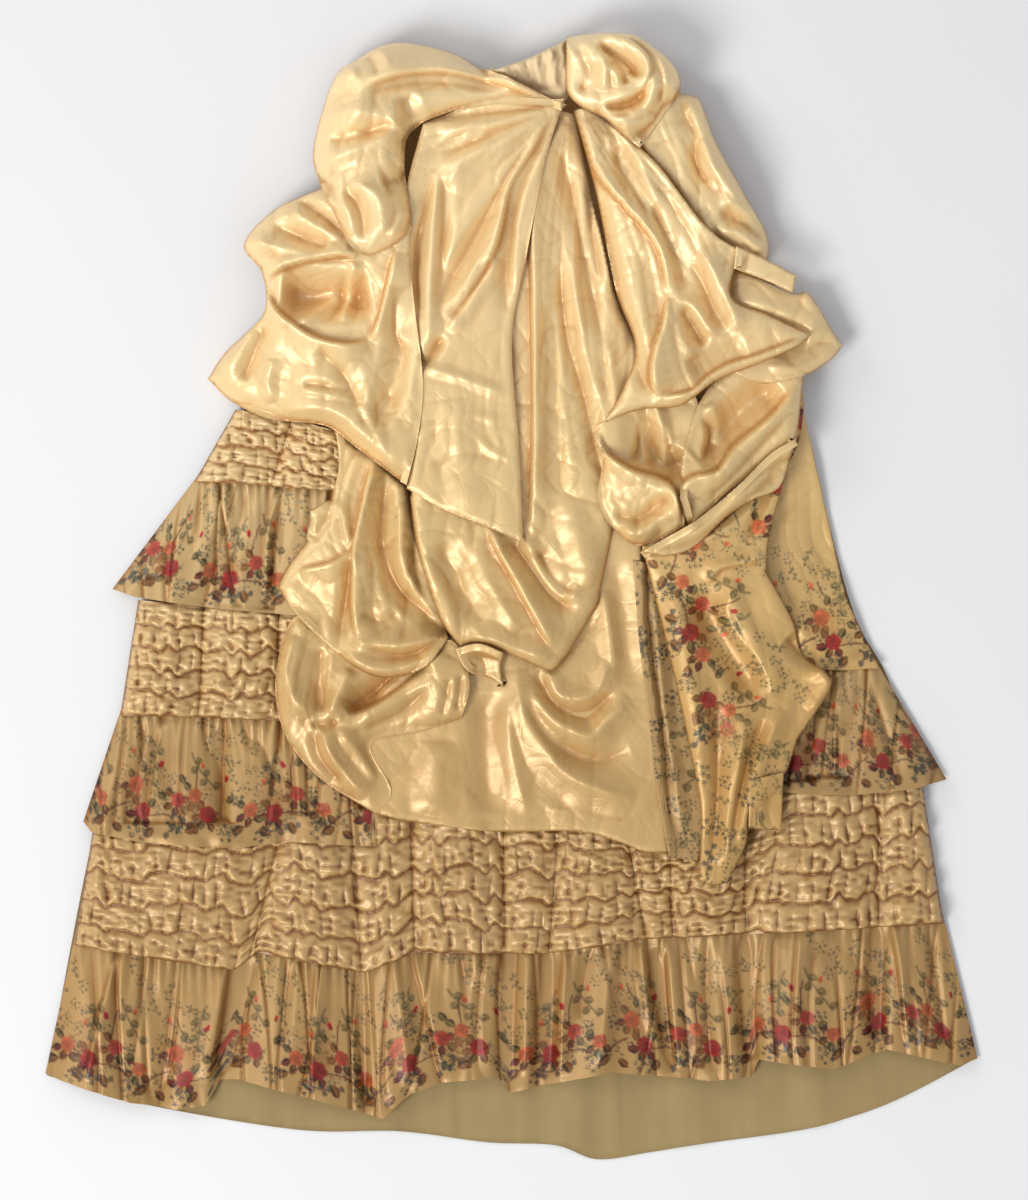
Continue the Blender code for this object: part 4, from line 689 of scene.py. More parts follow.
# Edges of each tier, drawn from left to right.
TIER_EDGES = {
    ("lower_flounce", "top"): (
        (77, 928), (235, 941), (365, 948), (503, 930), (640, 926), (751, 904), (940, 904),
    ),
    ("lower_flounce", "left hem"): (
        (46, 1073), (86, 1086), (133, 1101), (177, 1108), (206, 1104), (222, 1078),
    ),
    ("lower_flounce", "middle hem"): (
        (240, 1078), (312, 1096), (383, 1117), (411, 1092), (444, 1081), (498, 1076),
    ),
    ("lower_flounce", "right hem"): (
        (510, 1092), (544, 1084), (610, 1070), (709, 1079), (751, 1075), (758, 1058),
    ),
    ("lower_flounce", "corner hem"): ((832, 1067), (868, 1054), (886, 1048), (958, 1064), (977, 1058)),
    ("lower_band", "top"): (
        (95, 822), (240, 822), (376, 806), (500, 812), (640, 828), (700, 824), (790, 782), (920, 774),
    ),
    ("lower_band", "hem"): (
        (75, 944), (235, 969), (259, 951), (365, 972), (416, 951), (544, 953), (648, 938), (943, 923),
    ),
    ("middle_flounce_left", "top"): ((122, 708), (200, 713), (280, 716), (372, 722)),
    ("middle_flounce_left", "hem"): ((84, 821), (93, 831), (147, 841), (235, 847), (285, 840), (372, 845)),
    ("middle_band_left", "top"): ((139, 600), (200, 606), (270, 610), (352, 616)),
    ("middle_band_left", "hem"): ((121, 715), (200, 717), (276, 720), (352, 726)),
    ("upper_flounce_left", "top"): ((198, 476), (250, 480), (300, 484), (352, 490)),
    ("upper_flounce_left", "hem"): ((113, 589), (138, 597), (182, 604), (225, 609), (294, 615), (352, 618)),
    ("upper_band_left", "top"): ((236, 410), (270, 416), (310, 424), (350, 436)),
    ("upper_band_left", "hem"): ((195, 482), (250, 485), (300, 489), (350, 494)),
    ("middle_flounce_right", "top"): ((762, 662), (820, 660), (876, 662)),
    ("middle_flounce_right", "hem"): ((760, 789), (806, 793), (850, 794), (910, 788), (946, 779)),
}

# Deep valleys between the flutes of each tier: where each crosses the top edge and the hem.
FLUTE_VALLEYS = {
    "lower_band": (
        (285, 250), (352, 362), (411, 415), (503, 505), (559, 549), (625, 646), (669, 672), (743, 745),
        (877, 877),
    ),
    "lower_flounce": (
        (180, 160),
        (250, 220),
        (362, 365),
        (415, 442),
        (505, 510),
        (549, 544),
        (646, 656),
        (676, 690),
        (745, 752),
        (877, 874),
    ),
    "middle_flounce_left": ((163, 147), (225, 222), (295, 300)),
    "middle_band_left": ((205, 200), (280, 278)),
    "upper_flounce_left": ((240, 205), (283, 267)),
    "upper_band_left": ((292, 272),),
    "middle_flounce_right": ((812, 806), (838, 834)),
}
FLUTE_RISE = 0.15
FLUTE_LEAST = 3.0
FLUTE_MOST = 15.0
PUFF_HEIGHT = 10.0
TIER_FOOT = 4.0
FLOUNCE_END = 20.0
BAND_END = 7.0


# %% [markdown]
# ## Shapes from the tables
# A curve runs through the points of each edge. A fold is a soft ridge, or a sharper valley, round its
# own curve. Levels blend into a smooth form, and the edges of each piece roll over.

# %% Curves, cuts and folds
def smooth_curve(points, spacing):
    """Catmull-Rom curve through the points, cut into near-equal steps."""
    points = np.array(points, float)
    before = np.vstack([2 * points[0] - points[1], points, 2 * points[-1] - points[-2]])
    t = np.linspace(0, 1, 24, endpoint=False)[:, None]
    a, b, c, d = (before[i : len(before) - 3 + i, None] for i in range(4))
    spans = 2 * b + (c - a) * t
    spans = 0.5 * (spans + (2 * a - 5 * b + 4 * c - d) * t**2 + (3 * b - a - 3 * c + d) * t**3)
    if len(points) == 2:
        spans = b + (c - b) * t
    fine = np.vstack([spans.reshape(-1, 2), points[-1:]])
    length = np.concatenate([[0], np.cumsum(np.linalg.norm(np.diff(fine, axis=0), axis=1))])
    even = np.linspace(0, length[-1], max(1, round(length[-1] / spacing)) + 1)
    return np.column_stack([np.interp(even, length, fine[:, 0]), np.interp(even, length, fine[:, 1])])


def outline(piece, spacing):
    """The whole cut of a piece, without a repeated last point."""
    edges = [smooth_curve(row[2:], spacing) for row in CUT if row[0] == piece]
    loop = np.vstack([edge[:-1] for edge in edges])
    if np.linalg.norm(edges[-1][-1] - edges[0][0]) > 1:
        loop = np.vstack([loop, edges[-1][-1:]])
    return loop


def is_inside(points, loop):
    """Even-odd test of every point against the loop."""
    ends = np.roll(loop, -1, axis=0)
    crosses = (loop[None, :, 1] > points[:, None, 1]) != (ends[None, :, 1] > points[:, None, 1])
    rise = np.where(np.abs(ends[:, 1] - loop[:, 1]) < 1e-9, 1e-9, ends[:, 1] - loop[:, 1])
    at = loop[:, 0] + (points[:, None, 1] - loop[:, 1]) * (ends[:, 0] - loop[:, 0]) / rise
    return (crosses & (points[:, None, 0] < at)).sum(axis=1) % 2 == 1


def nearest_on(points, line):
    """Distance to the line, how far along it the nearest place is, and the side that each point is on."""
    distance = np.full(len(points), 1e9)
    along = np.zeros(len(points))
    side = np.ones(len(points))
    length = np.linalg.norm(np.diff(line, axis=0), axis=1)
    before = np.concatenate([[0], np.cumsum(length)])
    for start, end, run, at in zip(line[:-1], line[1:], length, before):
        share = np.clip(((points - start) @ (end - start)) / max(run, 1e-9) ** 2, 0, 1)
        off = points - start - share[:, None] * (end - start)
        gap = np.hypot(*off.T)
        closer = gap < distance
        distance[closer] = gap[closer]
        along[closer] = (at + share[closer] * run) / before[-1]
        turn = (end[0] - start[0]) * off[closer, 1] - (end[1] - start[1]) * off[closer, 0]
        side[closer] = np.where(turn < 0, -1, 1)
    return distance, along, side


COMPASS = {"N": (0, -1), "S": (0, 1), "W": (-1, 0), "E": (1, 0)}
CREST_ROUNDING = 1.3
EDGE_DROP = 4.0


def fold_profile(form, distance, side, line, half_width):
    """Height share of a fold across its line, from 1 on the line to 0 at its foot."""
    wide = half_width * 1.2
    if form in ("roll", "trough"):
        share = np.clip(distance / wide, 0, 1)
        return (1 - share) ** 2 * (1 + 2 * share)
    foot = np.full(len(distance), wide)
    if form.startswith("edge"):
        middle = len(line) // 2
        run = line[min(middle + 1, len(line) - 1)] - line[middle - 1]
        low = COMPASS[form[-1]]
        low_side = np.sign(run[0] * low[1] - run[1] * low[0])
        foot = np.where(side == low_side, EDGE_DROP, wide)
    share = np.clip((np.hypot(distance, CREST_ROUNDING) - CREST_ROUNDING) / foot, 0, 1)
    return (1 - share) ** 2 * (1 + 0.4 * share)


def fold_rise(piece, points):
    """Ridges less valleys. Where folds of one kind cross, the larger one leads."""
    ridges = np.zeros(len(points))
    valleys = np.zeros(len(points))
    for row in FOLDS:
        if row[0] != piece:
            continue
        form, rise, half_width = row[1:4]
        line = smooth_curve(row[4:], 7)
        distance, along, side = nearest_on(points, line)
        ends = np.sin(np.pi / 2 * np.clip(np.minimum(along, 1 - along) / 0.2, 0.08, 1))
        height = (rise * ends * fold_profile(form, distance, side, line, half_width)) ** 3
        if form in ("crease", "trough"):
            valleys += height
        else:
            ridges += height
    return np.cbrt(ridges) - np.cbrt(valleys)


def flow_rise(piece, points, seed):
    """Slack folds that run between two lines, uneven in width, height and length."""
    total = np.zeros(len(points))
    for row in FLOWS:
        if row[0] != piece:
            continue
        waves, rise, left, right = row[1:]
        near_left, along, side_left = nearest_on(points, smooth_curve(left, 9))
        near_right, _, side_right = nearest_on(points, smooth_curve(right, 9))
        from_left = -side_left * near_left
        from_right = side_right * near_right
        share = from_left / np.maximum(from_left + from_right, 8)
        inside = ramp(share, -0.12, 0.08) * (1 - ramp(share, 0.92, 1.12))
        wander = 0.5 * soft_noise(along * 3.1, share * 2.3, 1, seed)
        wander += 0.25 * soft_noise(along * 7, share * 5, 1, seed + 1)
        phase = share * waves + wander
        fold = np.floor(phase)
        strength = 0.25 + 0.75 * hashed(fold, 0 * fold, seed + 2)
        middle = 0.2 + 0.6 * hashed(fold, 0 * fold + 1, seed + 3)
        length = np.exp(-(((along - middle) / 0.38) ** 2))
        wave = np.abs(np.sin(np.pi * phase)) ** 0.8
        total += rise * strength * length * inside * wave
    return total


def level_at(piece, points):
    """Smooth height between the levels given for a piece."""
    spots = np.array([spot for row in LEVELS if row[0] == piece for spot in row[1:]], float)
    square = ((points[:, None, :] - spots[None, :, :2]) ** 2).sum(axis=2)
    weight = 1 / (square + 20.0**2) ** 1.3
    return (weight * spots[:, 2]).sum(axis=1) / weight.sum(axis=1)


def ramp(value, low, high):
    """Smooth step from 0 at low to 1 at high."""
    t = np.clip((value - low) / (high - low), 0, 1)
    return t * t * (3 - 2 * t)


def hashed(i, j, seed):
    """A repeatable number from 0 to 1 for each cell of a lattice."""
    value = np.sin(i * 127.1 + j * 311.7 + seed * 74.7) * 43758.5453
    return value - np.floor(value)


def soft_noise(x, y, size, seed):
    """Smooth noise from -1 to 1 with bumps of about the size given."""
    x, y = x / size, y / size
    i, j = np.floor(x), np.floor(y)
    u, v = x - i, y - j
    u, v = u * u * (3 - 2 * u), v * v * (3 - 2 * v)
    low = hashed(i, j, seed) * (1 - u) + hashed(i + 1, j, seed) * u
    high = hashed(i, j + 1, seed) * (1 - u) + hashed(i + 1, j + 1, seed) * u
    return 2 * (low * (1 - v) + high * v) - 1


def crumple(points, seed):
    """Slack creases of worn satin: creased noise at two sizes, turned a little."""
    x, y = points.T
    bend = 14 * soft_noise(x, y, 60, seed)
    large = np.abs(soft_noise(x * 0.8 + bend, y * 0.35 - bend, 26, seed + 1))
    small = np.abs(soft_noise(x * 0.5 - y * 0.4, y * 0.6 + x * 0.3 + bend, 15, seed + 2))
    dimples = soft_noise(x * 0.9 + y * 0.3, y * 0.7 + bend, 19, seed + 3)
    fine = np.abs(soft_noise(x * 0.7 + y * 0.5, y * 0.5 - x * 0.5 + bend, 10, seed + 4))
    return 1.1 * dimples - 1.9 * (1 - large) ** 4 - 1.1 * (1 - small) ** 5 - 0.5 * (1 - fine) ** 6


# %% [markdown]
# ## The pile of cloth
# A raster of the table keeps the highest cloth so far. Each new piece lies on it with a small gap, so
# the layers never pass through each other.

# %% The pile
class Pile:
    """Highest cloth so far over each cell of the table."""

    def __init__(self):
        shape = [int((high - low) / CELL) for low, high in zip(TABLE_LOW, TABLE_HIGH)]
        self.cells = np.zeros(shape)

    def index(self, plan):
        i, j = ((plan[:, :2] - TABLE_LOW) / CELL).astype(int).T
        return i, j

    def add(self, points):
        np.maximum.at(self.cells, self.index(points), points[:, 2])

    def spread(self, steps):
        wide = self.cells.copy()
        for _ in range(steps):
            for axis in (0, 1):
                near = np.maximum(np.roll(wide, 1, axis), np.roll(wide, -1, axis))
                wide = np.maximum(wide, near)
        return wide

    def under(self, plan, steps=2):
        """Smooth height just over what lies beneath: spread cells, blurred no wider than the spread."""
        wide = self.spread(steps)
        for _ in range(steps):
            for axis in (0, 1):
                wide = (np.roll(wide, 1, axis) + wide + np.roll(wide, -1, axis)) / 3
        place = (plan[:, :2] - TABLE_LOW) / CELL - 0.5
        i, j = np.floor(place).astype(int).T
        u, v = (place - np.floor(place)).T
        near = wide[i, j] * (1 - u) + wide[i + 1, j] * u
        far = wide[i, j + 1] * (1 - u) + wide[i + 1, j + 1] * u
        return near * (1 - v) + far * v


pile = Pile()


def rest_on(form, floor):
    """The form, eased up wherever what lies beneath is higher."""
    ease = 2.5
    return np.maximum(form, floor) + ease / 3 * np.exp(-np.abs(form - floor) / ease)


# %% [markdown]
# ## Shells
# A drapery piece is a lattice cut to its outline, with one more ring of points that turns its edge
# under. A tier is a grid of rows and columns between its top edge and its hem.

# %% Make the shells
def to_metres(points):
    """From the table's millimetres to metres, with the waist towards +Y."""
    x = points[:, 0] - CENTRE[0]
    y = CENTRE[1] - points[:, 1]
    return np.column_stack([x, y, points[:, 2]]) * MM


def add_mesh(name, points, faces, colours=None):
    """A smooth mesh object from arrays, with an optional colour for each point."""
    mesh = bpy.data.meshes.new(name)
    mesh.vertices.add(len(points))
    mesh.vertices.foreach_set("co", to_metres(points).ravel())
    sides = faces.shape[1]
    mesh.loops.add(faces.size)
    mesh.loops.foreach_set("vertex_index", faces.ravel())
    mesh.polygons.add(len(faces))
    mesh.polygons.foreach_set("loop_start", np.arange(0, faces.size, sides))
    mesh.polygons.foreach_set("use_smooth", np.ones(len(faces), bool))
    if colours is not None:
        # Point colours: the print, and painted shade and painted highlight.
        layer = mesh.color_attributes.new("print_and_painted_shade", "FLOAT_COLOR", "POINT")
        layer.data.foreach_set("color", np.column_stack([colours, np.ones(len(points))]).ravel())
    mesh.update(calc_edges=True)
    mesh.validate()
    made = bpy.data.objects.new(name, mesh)
    bpy.context.scene.collection.objects.link(made)
    return made


def facing_up(plan, faces):
    a, b, c = plan[faces[0, :3]]
    turn = (b[0] - a[0]) * (c[1] - a[1]) - (c[0] - a[0]) * (b[1] - a[1])
    return faces if turn < 0 else faces[:, ::-1]


def lattice(piece, spacing):
    """Points and faces that fill a cut. The outline's points come first, in order."""
    loop = outline(piece, spacing)
    low, high = loop.min(axis=0), loop.max(axis=0)
    x, y = np.meshgrid(np.arange(low[0], high[0], spacing), np.arange(low[1], high[1], spacing * 0.87))
    x[1::2] += spacing / 2
    inner = np.column_stack([x.ravel(), y.ravel()])
    inner = inner[is_inside(inner, loop)]
    near = nearest_on(inner, np.vstack([loop, loop[:1]]))[0]
    inner = inner[near > spacing * 0.55]
    points = np.vstack([loop, inner])
    edges = [(i, (i + 1) % len(loop)) for i in range(len(loop))]
    found = delaunay_2d_cdt([Vector(point) for point in points], edges, [], 1, 0.001)
    plan = np.array([tuple(point) for point in found[0]])
    faces = np.array([face for face in found[2] if len(face) == 3])
    a, b, c = plan[faces].transpose(1, 0, 2)
    turn = (b[:, 0] - a[:, 0]) * (c[:, 1] - a[:, 1]) - (c[:, 0] - a[:, 0]) * (b[:, 1] - a[:, 1])
    faces[turn > 0] = faces[turn > 0][:, ::-1]
    return plan, faces, loop


# Where the rings of a turned edge lie, as shares of its depth: inward, and down.
TURN_RINGS = ((0.0, 0.0), (0.5, 0.7), (3.5, 1.0))


def hem_allowance(depth):
    """Width of the cloth that a turned edge takes up."""
    return float(np.hypot(*np.diff(TURN_RINGS, axis=0).T).sum() * depth)


def turned_edge(points, faces, loop, depth):
    """Two more rings that turn the edge of a shell under itself."""
    count = len(loop)
    run = np.roll(loop, -1, axis=0) - np.roll(loop, 1, axis=0)
    side = np.column_stack([-run[:, 1], run[:, 0]]) / np.maximum(np.linalg.norm(run, axis=1), 1e-6)[:, None]
    inward = side if is_inside(loop[:1] + side[:1], loop)[0] else -side
    rings = []
    for into, down in TURN_RINGS[1:]:
        plan = points[:count, :2] + inward * into * depth
        rings.append(np.column_stack([plan, np.maximum(points[:count, 2] - down * depth, 0.2)]))
    first = np.arange(count)
    second = np.roll(first, -1)
    base = len(points)
    ring_faces = []
    for here, there in ((first * 1, base), (base, base + count)):
        near = first if there == base else first + here
        near_next = second if there == base else second + here
        ring_faces.append(np.column_stack([near, near_next, second + there]))
        ring_faces.append(np.column_stack([near, second + there, first + there]))
    whole = np.vstack([faces, *ring_faces])
    return np.vstack([points, *rings]), whole


def edge_drop(piece, plan):
    """How far the cloth has rolled down, as the larger drop of all the edges near a point."""
    total = np.zeros(len(plan))
    for row in CUT:
        if row[0] != piece:
            continue
        roll, drop = JOINED_EDGES.get(row[:2], EDGE_ROLLS[piece])
        near = 1 - np.clip(nearest_on(plan, smooth_curve(row[2:], 6))[0] / roll, 0, 1)
        total = np.maximum(total, drop * (1 - np.sqrt(np.maximum(0, 1 - near**2))))
    return total


HOLLOW_ROUNDS = 6
# Painted shade: the colours that hollows and the pinches between puffs are painted towards, and how much more
# strongly the tiers' hollows are painted.
HOLLOW_SHADE_TINT = (0.70, 0.49, 0.30)
PINCH_SHADE_TINT = (0.42, 0.24, 0.10)
TIER_SHADE = 1.7

# Painted shade for light that falls off down the table: the photo's cloth is darker and yellower towards the
# hem,
# and this painted tone follows it: distance down the table, and what is left of the pale tone in red, green
# and blue.
HEMWARD_SHADE = (
    (60, 1.0, 1.0, 1.0),
    (300, 0.93, 0.90, 0.86),
    (480, 0.84, 0.79, 0.68),
    (620, 0.74, 0.66, 0.52),
    (760, 0.63, 0.53, 0.38),
    (1100, 0.58, 0.47, 0.31),
)


def hemward_shade(y):
    """Painted shade of the cloth at a distance down the table, darker and yellower towards the hem."""
    rows = np.array(HEMWARD_SHADE)
    return np.column_stack([np.interp(y, rows[:, 0], rows[:, i]) for i in (1, 2, 3)])


def shaded(colours, hollow, y, tint=HOLLOW_SHADE_TINT):
    """Painted shade and highlight: darker and yellower towards the hem, deeper and warmer where cloth is
    pinched into a hollow, and a little paler on ridges as a painted highlight.
    """
    deep = np.clip(hollow, 0, 1)[:, None] ** 0.8
    # Painted highlight: ridges a little paler than the cloth around them.
    ridge_highlight = np.clip(-hollow, 0, 1)[:, None]
    return colours * hemward_shade(y) * (1 - deep * (1 - np.array(tint))) * (1 + 0.06 * ridge_highlight)


def hollowness(height, faces, rounds):
    """How far each point lies in a hollow (above nought) or on a ridge, against its surroundings."""
    count = len(height)
    use = np.maximum(np.bincount(faces.ravel(), minlength=count), 1)
    smooth = height.copy()
    for _ in range(rounds):
        mean = smooth[faces].mean(axis=1)
        smooth = np.bincount(faces.ravel(), np.repeat(mean, faces.shape[1]), count) / use
    return np.clip((smooth - height) / 2.6, -1, 1)


def draped(piece, spacing, seed, colours=None, creases=1.0):
    """One piece of drapery: its form, its folds and its slack creases, laid on the pile."""
    plan, faces, loop = lattice(piece, spacing)
    form = level_at(piece, plan) + fold_rise(piece, plan) + flow_rise(piece, plan, seed)
    form -= edge_drop(piece, plan)
    form += creases * crumple(plan, seed)
    height = rest_on(form, pile.under(plan) + GAP)
    points = np.column_stack([plan, height])
    pile.add(points)
    painted = np.ones((len(plan), 3)) if colours is None else colours(plan)
    # Painted shade in the hollows and towards the hem, and a painted highlight on ridges, go into the point
    # colours.
    painted = shaded(painted, hollowness(height, faces, HOLLOW_ROUNDS), plan[:, 1])
    points, faces = turned_edge(points, faces, loop, HEM_TURN)
    painted = np.vstack([painted, painted[: len(loop)], painted[: len(loop)]])
    return add_mesh(piece, points, faces, painted)


# %% [markdown]
# ## Shirred bands and flounces
# A band is gathered on rows of thread. Between two rows the cloth stands out in puffs, which hang over
# the row below, and crisp pinches part them. A flounce has deep flutes, and small gathers under its seam.

# %% Bands and flounces
def tier_edge(piece, side):
    """Points of a tier's top or hem, from left to right."""
    rows = [line for (name, edge), line in TIER_EDGES.items() if name == piece and edge.endswith(side)]
    return np.array([point for line in rows for point in line], float)


def tier_grid(piece, spacing):
    """Plan of a tier's grid, with each column's place in its flute."""
    top, hem = tier_edge(piece, "top"), tier_edge(piece, "hem")
    marks = np.array([(top[0, 0], hem[0, 0]), *FLUTE_VALLEYS[piece], (top[-1, 0], hem[-1, 0])], float)
    widths = np.diff(marks.mean(axis=1))
    counts = np.maximum(2, np.round(widths / spacing)).astype(int)
    place = np.concatenate([i + np.arange(n) / n for i, n in enumerate(counts)] + [[len(counts)]])
    flute = np.minimum(np.floor(place), len(counts) - 1).astype(int)
    rise = np.clip(FLUTE_RISE * widths, FLUTE_LEAST, FLUTE_MOST)[flute]
    top_x = np.interp(place, np.arange(len(marks)), marks[:, 0])
    hem_x = np.interp(place, np.arange(len(marks)), marks[:, 1])
    top_y = np.interp(top_x, top[:, 0], top[:, 1])
    hem_y = np.interp(hem_x, hem[:, 0], hem[:, 1])
    rows = int(round(np.mean(hem_y - top_y) / spacing)) + 1
    down = np.linspace(0, 1, rows)[:, None]
    x = top_x * (1 - down) + hem_x * down
    y = top_y * (1 - down) + hem_y * down
    return x, y, down, rise, place - flute


def grid_faces(rows, columns):
    cell = np.arange(rows * columns).reshape(rows, columns)[:-1, :-1].ravel()
    return np.column_stack([cell, cell + columns, cell + columns + 1, cell + 1])


def puff_relief(x, down, puffs, seed):
    """Rows of gathered cloth: each swells downwards over the next, and creases part its puffs."""
    zigzag = 0.20 * soft_noise(x, 0 * x, 9, seed) + 0.22 * soft_noise(x, down * 60, 21, seed + 1)
    place = down * puffs + zigzag * np.sin(np.pi * np.clip(down, 0, 1)) ** 0.4
    row = np.clip(np.floor(place), 0, puffs - 1)
    part = np.clip(place - row, 0, 1)
    hang = (0.2 + 0.8 * np.sin(np.pi / 2 * np.clip(part / 0.8, 0, 1)) ** 0.9) * (1 - ramp(part, 0.86, 1.0))
    slant = 12 * (hashed(np.floor(x / 55), row, seed) - 0.5) * (part - 0.5)
    wander = 8 * soft_noise(x, row * 41.0, 17, seed + 3)
    wave = (x + wander + slant + 23 * row) / 15
    cell = np.floor(wave)
    across = wave - cell
    full = 0.5 + 0.5 * hashed(cell, row, seed + 5)
    deep = 0.3 + 0.7 * hashed(cell, row, seed + 7)
    beyond = 0.3 + 0.7 * hashed(cell + 1, row, seed + 7)
    crease = deep * np.exp(-across * 6.5) + beyond * np.exp(-(1 - across) * 6.5)
    reach = ramp(part, -0.2 + 0.5 * hashed(cell, row, seed + 9), 0.6)
    dent = 0.5 * soft_noise(x + 30 * down, down * 300, 8, seed + 11)
    return PUFF_HEIGHT * hang * (full * (1 - 0.8 * crease * reach) + dent * 0.5) + 0.5 * dent


def tier(row, spacing, seed):
    """A tier of the skirt: returns its points, its grid size and its cloth coordinates."""
    piece, puffs, height_top, height_hem = row
    x, y, down, rise, share = tier_grid(piece, spacing)
    flute = rise * np.abs(np.sin(np.pi * share)) ** (0.6 if puffs else 0.7)
    base = height_top * (1 - down) + height_hem * down
    if puffs:
        form = base + flute + puff_relief(x, down + 0 * x, puffs, seed)
    else:
        wander = 10 * soft_noise(x, y * 0.3, 40, seed)
        gathers = np.cos(2 * np.pi * (x + wander) / 11) * np.exp(-down * 7)
        waves = soft_noise(x + (down - 0.5) * 12, y * 0.12, 26, seed + 2) * (0.5 + 0.8 * down)
        sharp = -np.maximum(0, 1 - np.abs(soft_noise(x - down * 9, y * 0.1, 21, seed + 4)) * 6) * 3.4
        sharp -= np.maximum(0, 1 - np.abs(soft_noise(x + down * 14, y * 0.14, 34, seed + 6)) * 9) * 3.0
        form = base + flute * (0.4 + 0.6 * down) + 1.9 * gathers + 2.6 * waves + sharp
    plan = np.column_stack([x.ravel(), y.ravel()])
    form = form.ravel() + fold_rise(piece, plan)
    ends = np.minimum(x - x[:, :1], x[:, -1:] - x).ravel()
    form = TIER_FOOT + (form - TIER_FOOT) * np.sqrt(ramp(ends, -2, BAND_END if puffs else FLOUNCE_END))
    height = rest_on(form, pile.under(plan, 1) + GAP)
    points = np.column_stack([plan, height])
    pile.add(points)
    return points, x.shape, (x, y, down + 0 * x)


# %% [markdown]
# ## The print
# A generic rose border in the manner of the time: crimson and coral roses, brown leaves on maroon
# stems and blue-grey sprays. One repeat is charted below and painted into the cloth's points,
# with s along the hem and h up from it, both in millimetres.

# %% Chart and paint the print
CRIMSON = (0.52, 0.018, 0.03)
CORAL = (0.80, 0.20, 0.10)
ROSY = (0.70, 0.09, 0.075)
BLUSH = (0.60, 0.30, 0.12)
OCHRE = (0.20, 0.095, 0.028)
MAROON = (0.15, 0.03, 0.025)
SLATE = (0.055, 0.075, 0.085)
SAGE = (0.22, 0.20, 0.11)
OLIVE = (0.17, 0.14, 0.06)
FAINT_SLATE = (0.20, 0.21, 0.18)
GROUND = (0.74, 0.55, 0.30)
REPEAT = 232.0

# Motif, s, h, size, turn in degrees, colour. The sprigs that fill the ground between these come from a
# small formula below.
CHARTED = (
    ("blush", 40, 42, 22, 0, BLUSH),
    ("blush", 124, 52, 24, 0, BLUSH),
    ("blush", 188, 38, 20, 0, BLUSH),
    ("stem", 16, 22, 34, 12, MAROON),
    ("stem", 58, 28, 30, -16, MAROON),
    ("stem", 104, 24, 34, 20, MAROON),
    ("stem", 150, 26, 32, -12, OCHRE),
    ("stem", 198, 22, 34, 16, MAROON),
    ("stem", 60, 70, 30, 66, MAROON),
    ("stem", 128, 78, 28, 104, OCHRE),
    ("stem", 192, 66, 30, 72, MAROON),
    ("branch", 30, 50, 44, 62, SAGE),
    ("branch", 84, 56, 46, 108, OLIVE),
    ("branch", 138, 58, 44, 70, SAGE),
    ("branch", 206, 54, 44, 112, OLIVE),
    ("branch", 160, 14, 34, 8, SLATE),
    ("branch", 66, 12, 30, 170, SLATE),
    ("leaf", 10, 20, 14.2, 200, OCHRE),
    ("leaf", 24, 16, 15.2, -30, OCHRE),
    ("leaf", 30, 20, 12.3, 20, MAROON),
    ("leaf", 54, 20, 14.2, -58, OCHRE),
    ("leaf", 74, 40, 12.3, 30, OLIVE),
    ("leaf", 100, 18, 15.2, 215, OCHRE),
    ("leaf", 108, 14, 13.3, -35, OCHRE),
    ("leaf", 118, 24, 13.3, 10, MAROON),
    ("leaf", 142, 34, 12.3, 60, OLIVE),
    ("leaf", 150, 16, 14.2, 235, OCHRE),
    ("leaf", 160, 44, 12.3, 150, OLIVE),
    ("leaf", 184, 22, 15.2, -40, OCHRE),
    ("leaf", 194, 18, 13.3, 200, OCHRE),
    ("leaf", 214, 30, 13.3, 210, OCHRE),
    ("leaf", 222, 44, 12.3, 40, OLIVE),
    ("leaf", 46, 58, 11.4, 110, OLIVE),
    ("leaf", 128, 66, 11.4, 70, OLIVE),
    ("leaf", 178, 60, 11.4, 120, OLIVE),
    ("rose", 16, 36, 7.8, 10, CORAL),
    ("rose", 40, 30, 9, 60, CRIMSON),
    ("rose", 64, 48, 7.8, 110, ROSY),
    ("rose", 90, 34, 7.4, 200, CORAL),
    ("rose", 124, 54, 8.6, 20, CORAL),
    ("rose", 136, 30, 8.6, 300, CRIMSON),
    ("rose", 172, 44, 7.8, 80, ROSY),
    ("rose", 204, 32, 8.6, 150, CRIMSON),
    ("rose", 190, 50, 7, 150, CORAL),
    ("bud", 50, 76, 4.5, 20, CRIMSON),
    ("bud", 78, 88, 4, -15, CORAL),
    ("bud", 114, 86, 4, 10, CORAL),
    ("bud", 150, 78, 4.5, -30, CRIMSON),
    ("bud", 196, 80, 4, 15, CORAL),
    ("bud", 222, 68, 4, -10, CRIMSON),
    ("bud", 30, 62, 4, -10, CORAL),
    ("spray", 28, 9, 12, 10, SLATE),
    ("spray", 84, 14, 14, 70, SLATE),
    ("spray", 108, 50, 12, 140, SLATE),
    ("spray", 134, 10, 14, -20, SLATE),
    ("spray", 172, 20, 13, 95, SLATE),
    ("spray", 226, 14, 13, 35, SLATE),
    ("spray", 2, 50, 12, 110, SLATE),
)
SPRIGS = 60
GOLDEN = 0.618034
LEAF_TURNS = (-118, -70, 196, 128)


def rose_leaves():
    """Leaves round each charted rose, mostly below it, with one spray of small flowers beside it."""
    rows = []
    for i, (kind, s, h, size, turn, tone) in enumerate(CHARTED):
        if kind != "rose":
            continue
        for j, lean in enumerate(LEAF_TURNS):
            angle = np.radians(lean + 9 * (i % 3))
            tint = (OCHRE, MAROON, OLIVE, OCHRE)[(i + j) % 4]
            rows.append(("leaf", s + 6 * np.cos(angle), h + 6 * np.sin(angle), 12, lean + 9 * (i % 3), tint))
        side = 1 if i % 2 else -1
        rows.append(("spray", s + 13 * side, h + 7 - 5 * (i % 3), 9, 40 * i % 180, SLATE))
    return tuple(rows)


